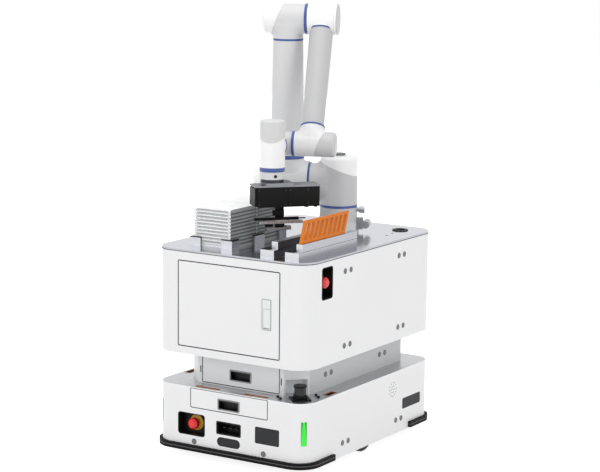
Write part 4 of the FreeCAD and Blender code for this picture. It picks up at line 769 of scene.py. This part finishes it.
# %% nameboard
def fence(name, length, height, thick, slant, foot, head, slots, bar, corner, material, body):
    """A board from (0, 0) to (length, height), each point shifted along by slant * height.

    Columns alternate between bars and slots, and rows are the foot, the slots and the head.
    """
    gap = (length - (slots + 1) * bar) / slots
    steps = np.concatenate([[0], np.cumsum([bar, gap] * slots + [bar])])
    levels = np.array([0, foot, height - head, height])
    solid = np.ones((3, len(steps) - 1), bool)
    solid[1, 1::2] = False
    u, v = np.meshgrid(steps, levels)
    flat = np.stack([np.zeros_like(u), u + slant * v, v], axis=-1)
    points = np.stack([flat, flat + (thick, 0, 0)]) + corner
    rows, columns = u.shape
    number = np.arange(points.size // 3).reshape(2, rows, columns)
    near, far = number
    j, i = np.nonzero(solid)
    faces = [np.stack([near[j, i], near[j + 1, i], near[j + 1, i + 1], near[j, i + 1]], -1),
             np.stack([far[j, i], far[j, i + 1], far[j + 1, i + 1], far[j + 1, i]], -1)]
    padded = np.pad(solid, 1)
    for (dj, di), a, b in (((-1, 0), (0, 0), (0, 1)), ((1, 0), (1, 1), (1, 0)),
                           ((0, -1), (1, 0), (0, 0)), ((0, 1), (0, 1), (1, 1))):
        wall_j, wall_i = np.nonzero(solid & ~padded[1 + dj:rows + dj, 1 + di:columns + di])
        ends = [(wall_j + a[0], wall_i + a[1]), (wall_j + b[0], wall_i + b[1])]
        faces.append(np.stack([near[ends[0]], near[ends[1]], far[ends[1]], far[ends[0]]], -1))
    mesh = bpy.data.meshes.new(name)
    mesh.from_pydata(points.reshape(-1, 3).tolist(), [], np.concatenate(faces).tolist())
    piece = finished(name, mesh, material, body)
    bevel = piece.modifiers.new("rounded edges", "BEVEL")
    bevel.width = 0.0012
    bevel.segments = 2
    return piece


rail_low, rail_high = (np.array(corner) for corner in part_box("fixture_rails"))
fence("nameboard", length=0.31, height=0.084, thick=0.011, slant=0.36, foot=0.014,
      head=0.011, slots=9, bar=0.0145,
      corner=(rail_high[0] - 0.0185, rail_low[1] + 0.029, rail_high[2]),
      material=sign_orange, body="platform")

# %% [markdown]
# ## Tool flange socket
# The flange has a round cable socket on its side. It is a low turned boss of black plastic,
# with a shallow hollow in its face.

# %% flange socket
def turned(name, profile, spot, axis, material, body, columns=40):
    """A surface of revolution: each (radius, height) of the profile is carried round axis."""
    axis = np.asarray(axis, float) / np.linalg.norm(axis)
    first = np.cross(axis, (0, 0, 1) if abs(axis[2]) < 0.9 else (1, 0, 0))
    first /= np.linalg.norm(first)
    r, z = np.array(profile, float).T
    turn = np.linspace(0, 2 * math.pi, columns, endpoint=False)
    loops = r[:, None, None] * np.stack([np.cos(turn), np.sin(turn)], axis=-1)
    frame = np.stack([first, np.cross(axis, first), axis])
    return skin(name, loft(loops, z, frame, np.asarray(spot))[None], material, body)


flange_low, flange_high = (np.array(corner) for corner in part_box("tool_flange"))
flange = (flange_low + flange_high) / 2
SOCKET_TURN, SOCKET_DROP = math.radians(-41), 0.015    # heading, distance below the top edge
outward = np.array([math.cos(SOCKET_TURN), math.sin(SOCKET_TURN), 0.0])
wall = (flange_high[0] - flange_low[0]) / 2
seat = flange + outward * (wall - 0.001)
seat[2] = flange_high[2] - SOCKET_DROP
turned("flange_socket", [(0, 0), (0.0062, 0), (0.0062, 0.0022), (0.0056, 0.0028),
                         (0.0042, 0.0028), (0.0038, 0.0012), (0, 0.0012)], seat, outward,
       black_abs, "tool")

# %% [markdown]
# ## Gripper plates
# The gripper's case is closed on its long side by two thin plates, each held by a screw at
# every corner, so the black block reads as an assembly. A plate is a rounded rectangle that
# rises to its thickness and closes over a small chamfer.

# %% gripper plates
def plate(name, length, height, thick, spot, frame, material, body, radius=0.003):
    """A thin rounded plate: the loops shrink to a point behind it and again in front."""
    full = rounded_loop(length / 2, height / 2, radius)
    inner = rounded_loop(length / 2 - 0.0006, height / 2 - 0.0006, radius - 0.0006)
    loops = np.stack([full * 0, full, full, inner, inner * 0])
    levels = np.array([-0.0004, -0.0004, thick - 0.0006, thick, thick])
    return skin(name, loft(loops, levels, frame, spot)[None], material, body)


TOOL_TURN, CASE_HALF, RAISE = math.radians(48.5), 0.042, 0.003    # heading, half width, rise
PLATE_HEIGHT, PLATE_THICK, SCREW_INSET = 0.066, 0.0012, 0.006
along_case = np.array([math.cos(TOOL_TURN), math.sin(TOOL_TURN), 0.0])
out_of_case = np.array([math.sin(TOOL_TURN), -math.cos(TOOL_TURN), 0.0])
case_frame = (along_case, (0.0, 0.0, 1.0), out_of_case)
case_low, case_high = (np.array(corner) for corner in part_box("gripper_housing"))
case_middle = (case_low[2] + case_high[2]) / 2 + RAISE
face = np.array([flange[0], flange[1], case_middle]) + CASE_HALF * out_of_case
spots = []
for name, start, length in (("gripper_plate_left", -0.068, 0.118),
                            ("gripper_plate_right", 0.056, 0.082)):
    spot = face + (start + length / 2) * along_case
    plate(name, length, PLATE_HEIGHT, PLATE_THICK, spot, case_frame, case_black, "tool")
    corners = np.array([(u, v) for u in (-1, 1) for v in (-1, 1)]) * (
        length / 2 - SCREW_INSET, PLATE_HEIGHT / 2 - SCREW_INSET)
    spots.extend(spot + 0.001 * out_of_case + corners[:, :1] * along_case
                 + corners[:, 1:] * np.array([0, 0, 1]))
screws("gripper_screws", spots, out_of_case, 0.0026, 0.0014, dark_steel, "tool")

# %% [markdown]
# ## Floor
# A pale floor that the camera sees as white, while it still takes the robot's soft shadow. It
# glows for the eye only, a little less under the robot than 3 m away.

# %% floor
def flat_floor(half):
    """A square at height zero: x and y each run from -half to half."""
    u, v = np.meshgrid((-half, half), (-half, half))
    points = np.stack([u, v, np.zeros_like(u)], axis=-1).reshape(-1, 3)
    mesh = bpy.data.meshes.new("floor")
    mesh.from_pydata(points.tolist(), [], [(0, 1, 3, 2)])
    floor = bpy.data.objects.new("floor", mesh)
    bpy.context.scene.collection.objects.link(floor)
    return floor


floor = flat_floor(12.0)
pale_floor, tree, shader = plain("pale floor", "e2e2e2", 0.9, Specular_IOR_Level=0.0)
place = node(tree, "ShaderNodeTexCoord")
far = node(tree, "ShaderNodeVectorMath", {0: place.outputs["Object"]}, operation="LENGTH")
glow = node(tree, "ShaderNodeMapRange", {"Value": far.outputs["Value"], "From Min": 0.5,
                                         "From Max": 3.0, "To Min": 0.84, "To Max": 1.0})
glow = node(tree, "ShaderNodeMath", {0: glow.outputs[0], 1: only_looks(tree)},
            operation="MULTIPLY")
tree.links.new(glow.outputs[0], shader.inputs["Emission Strength"])
shader.inputs["Emission Color"].default_value = (1, 1, 1, 1)
floor.data.materials.append(pale_floor)
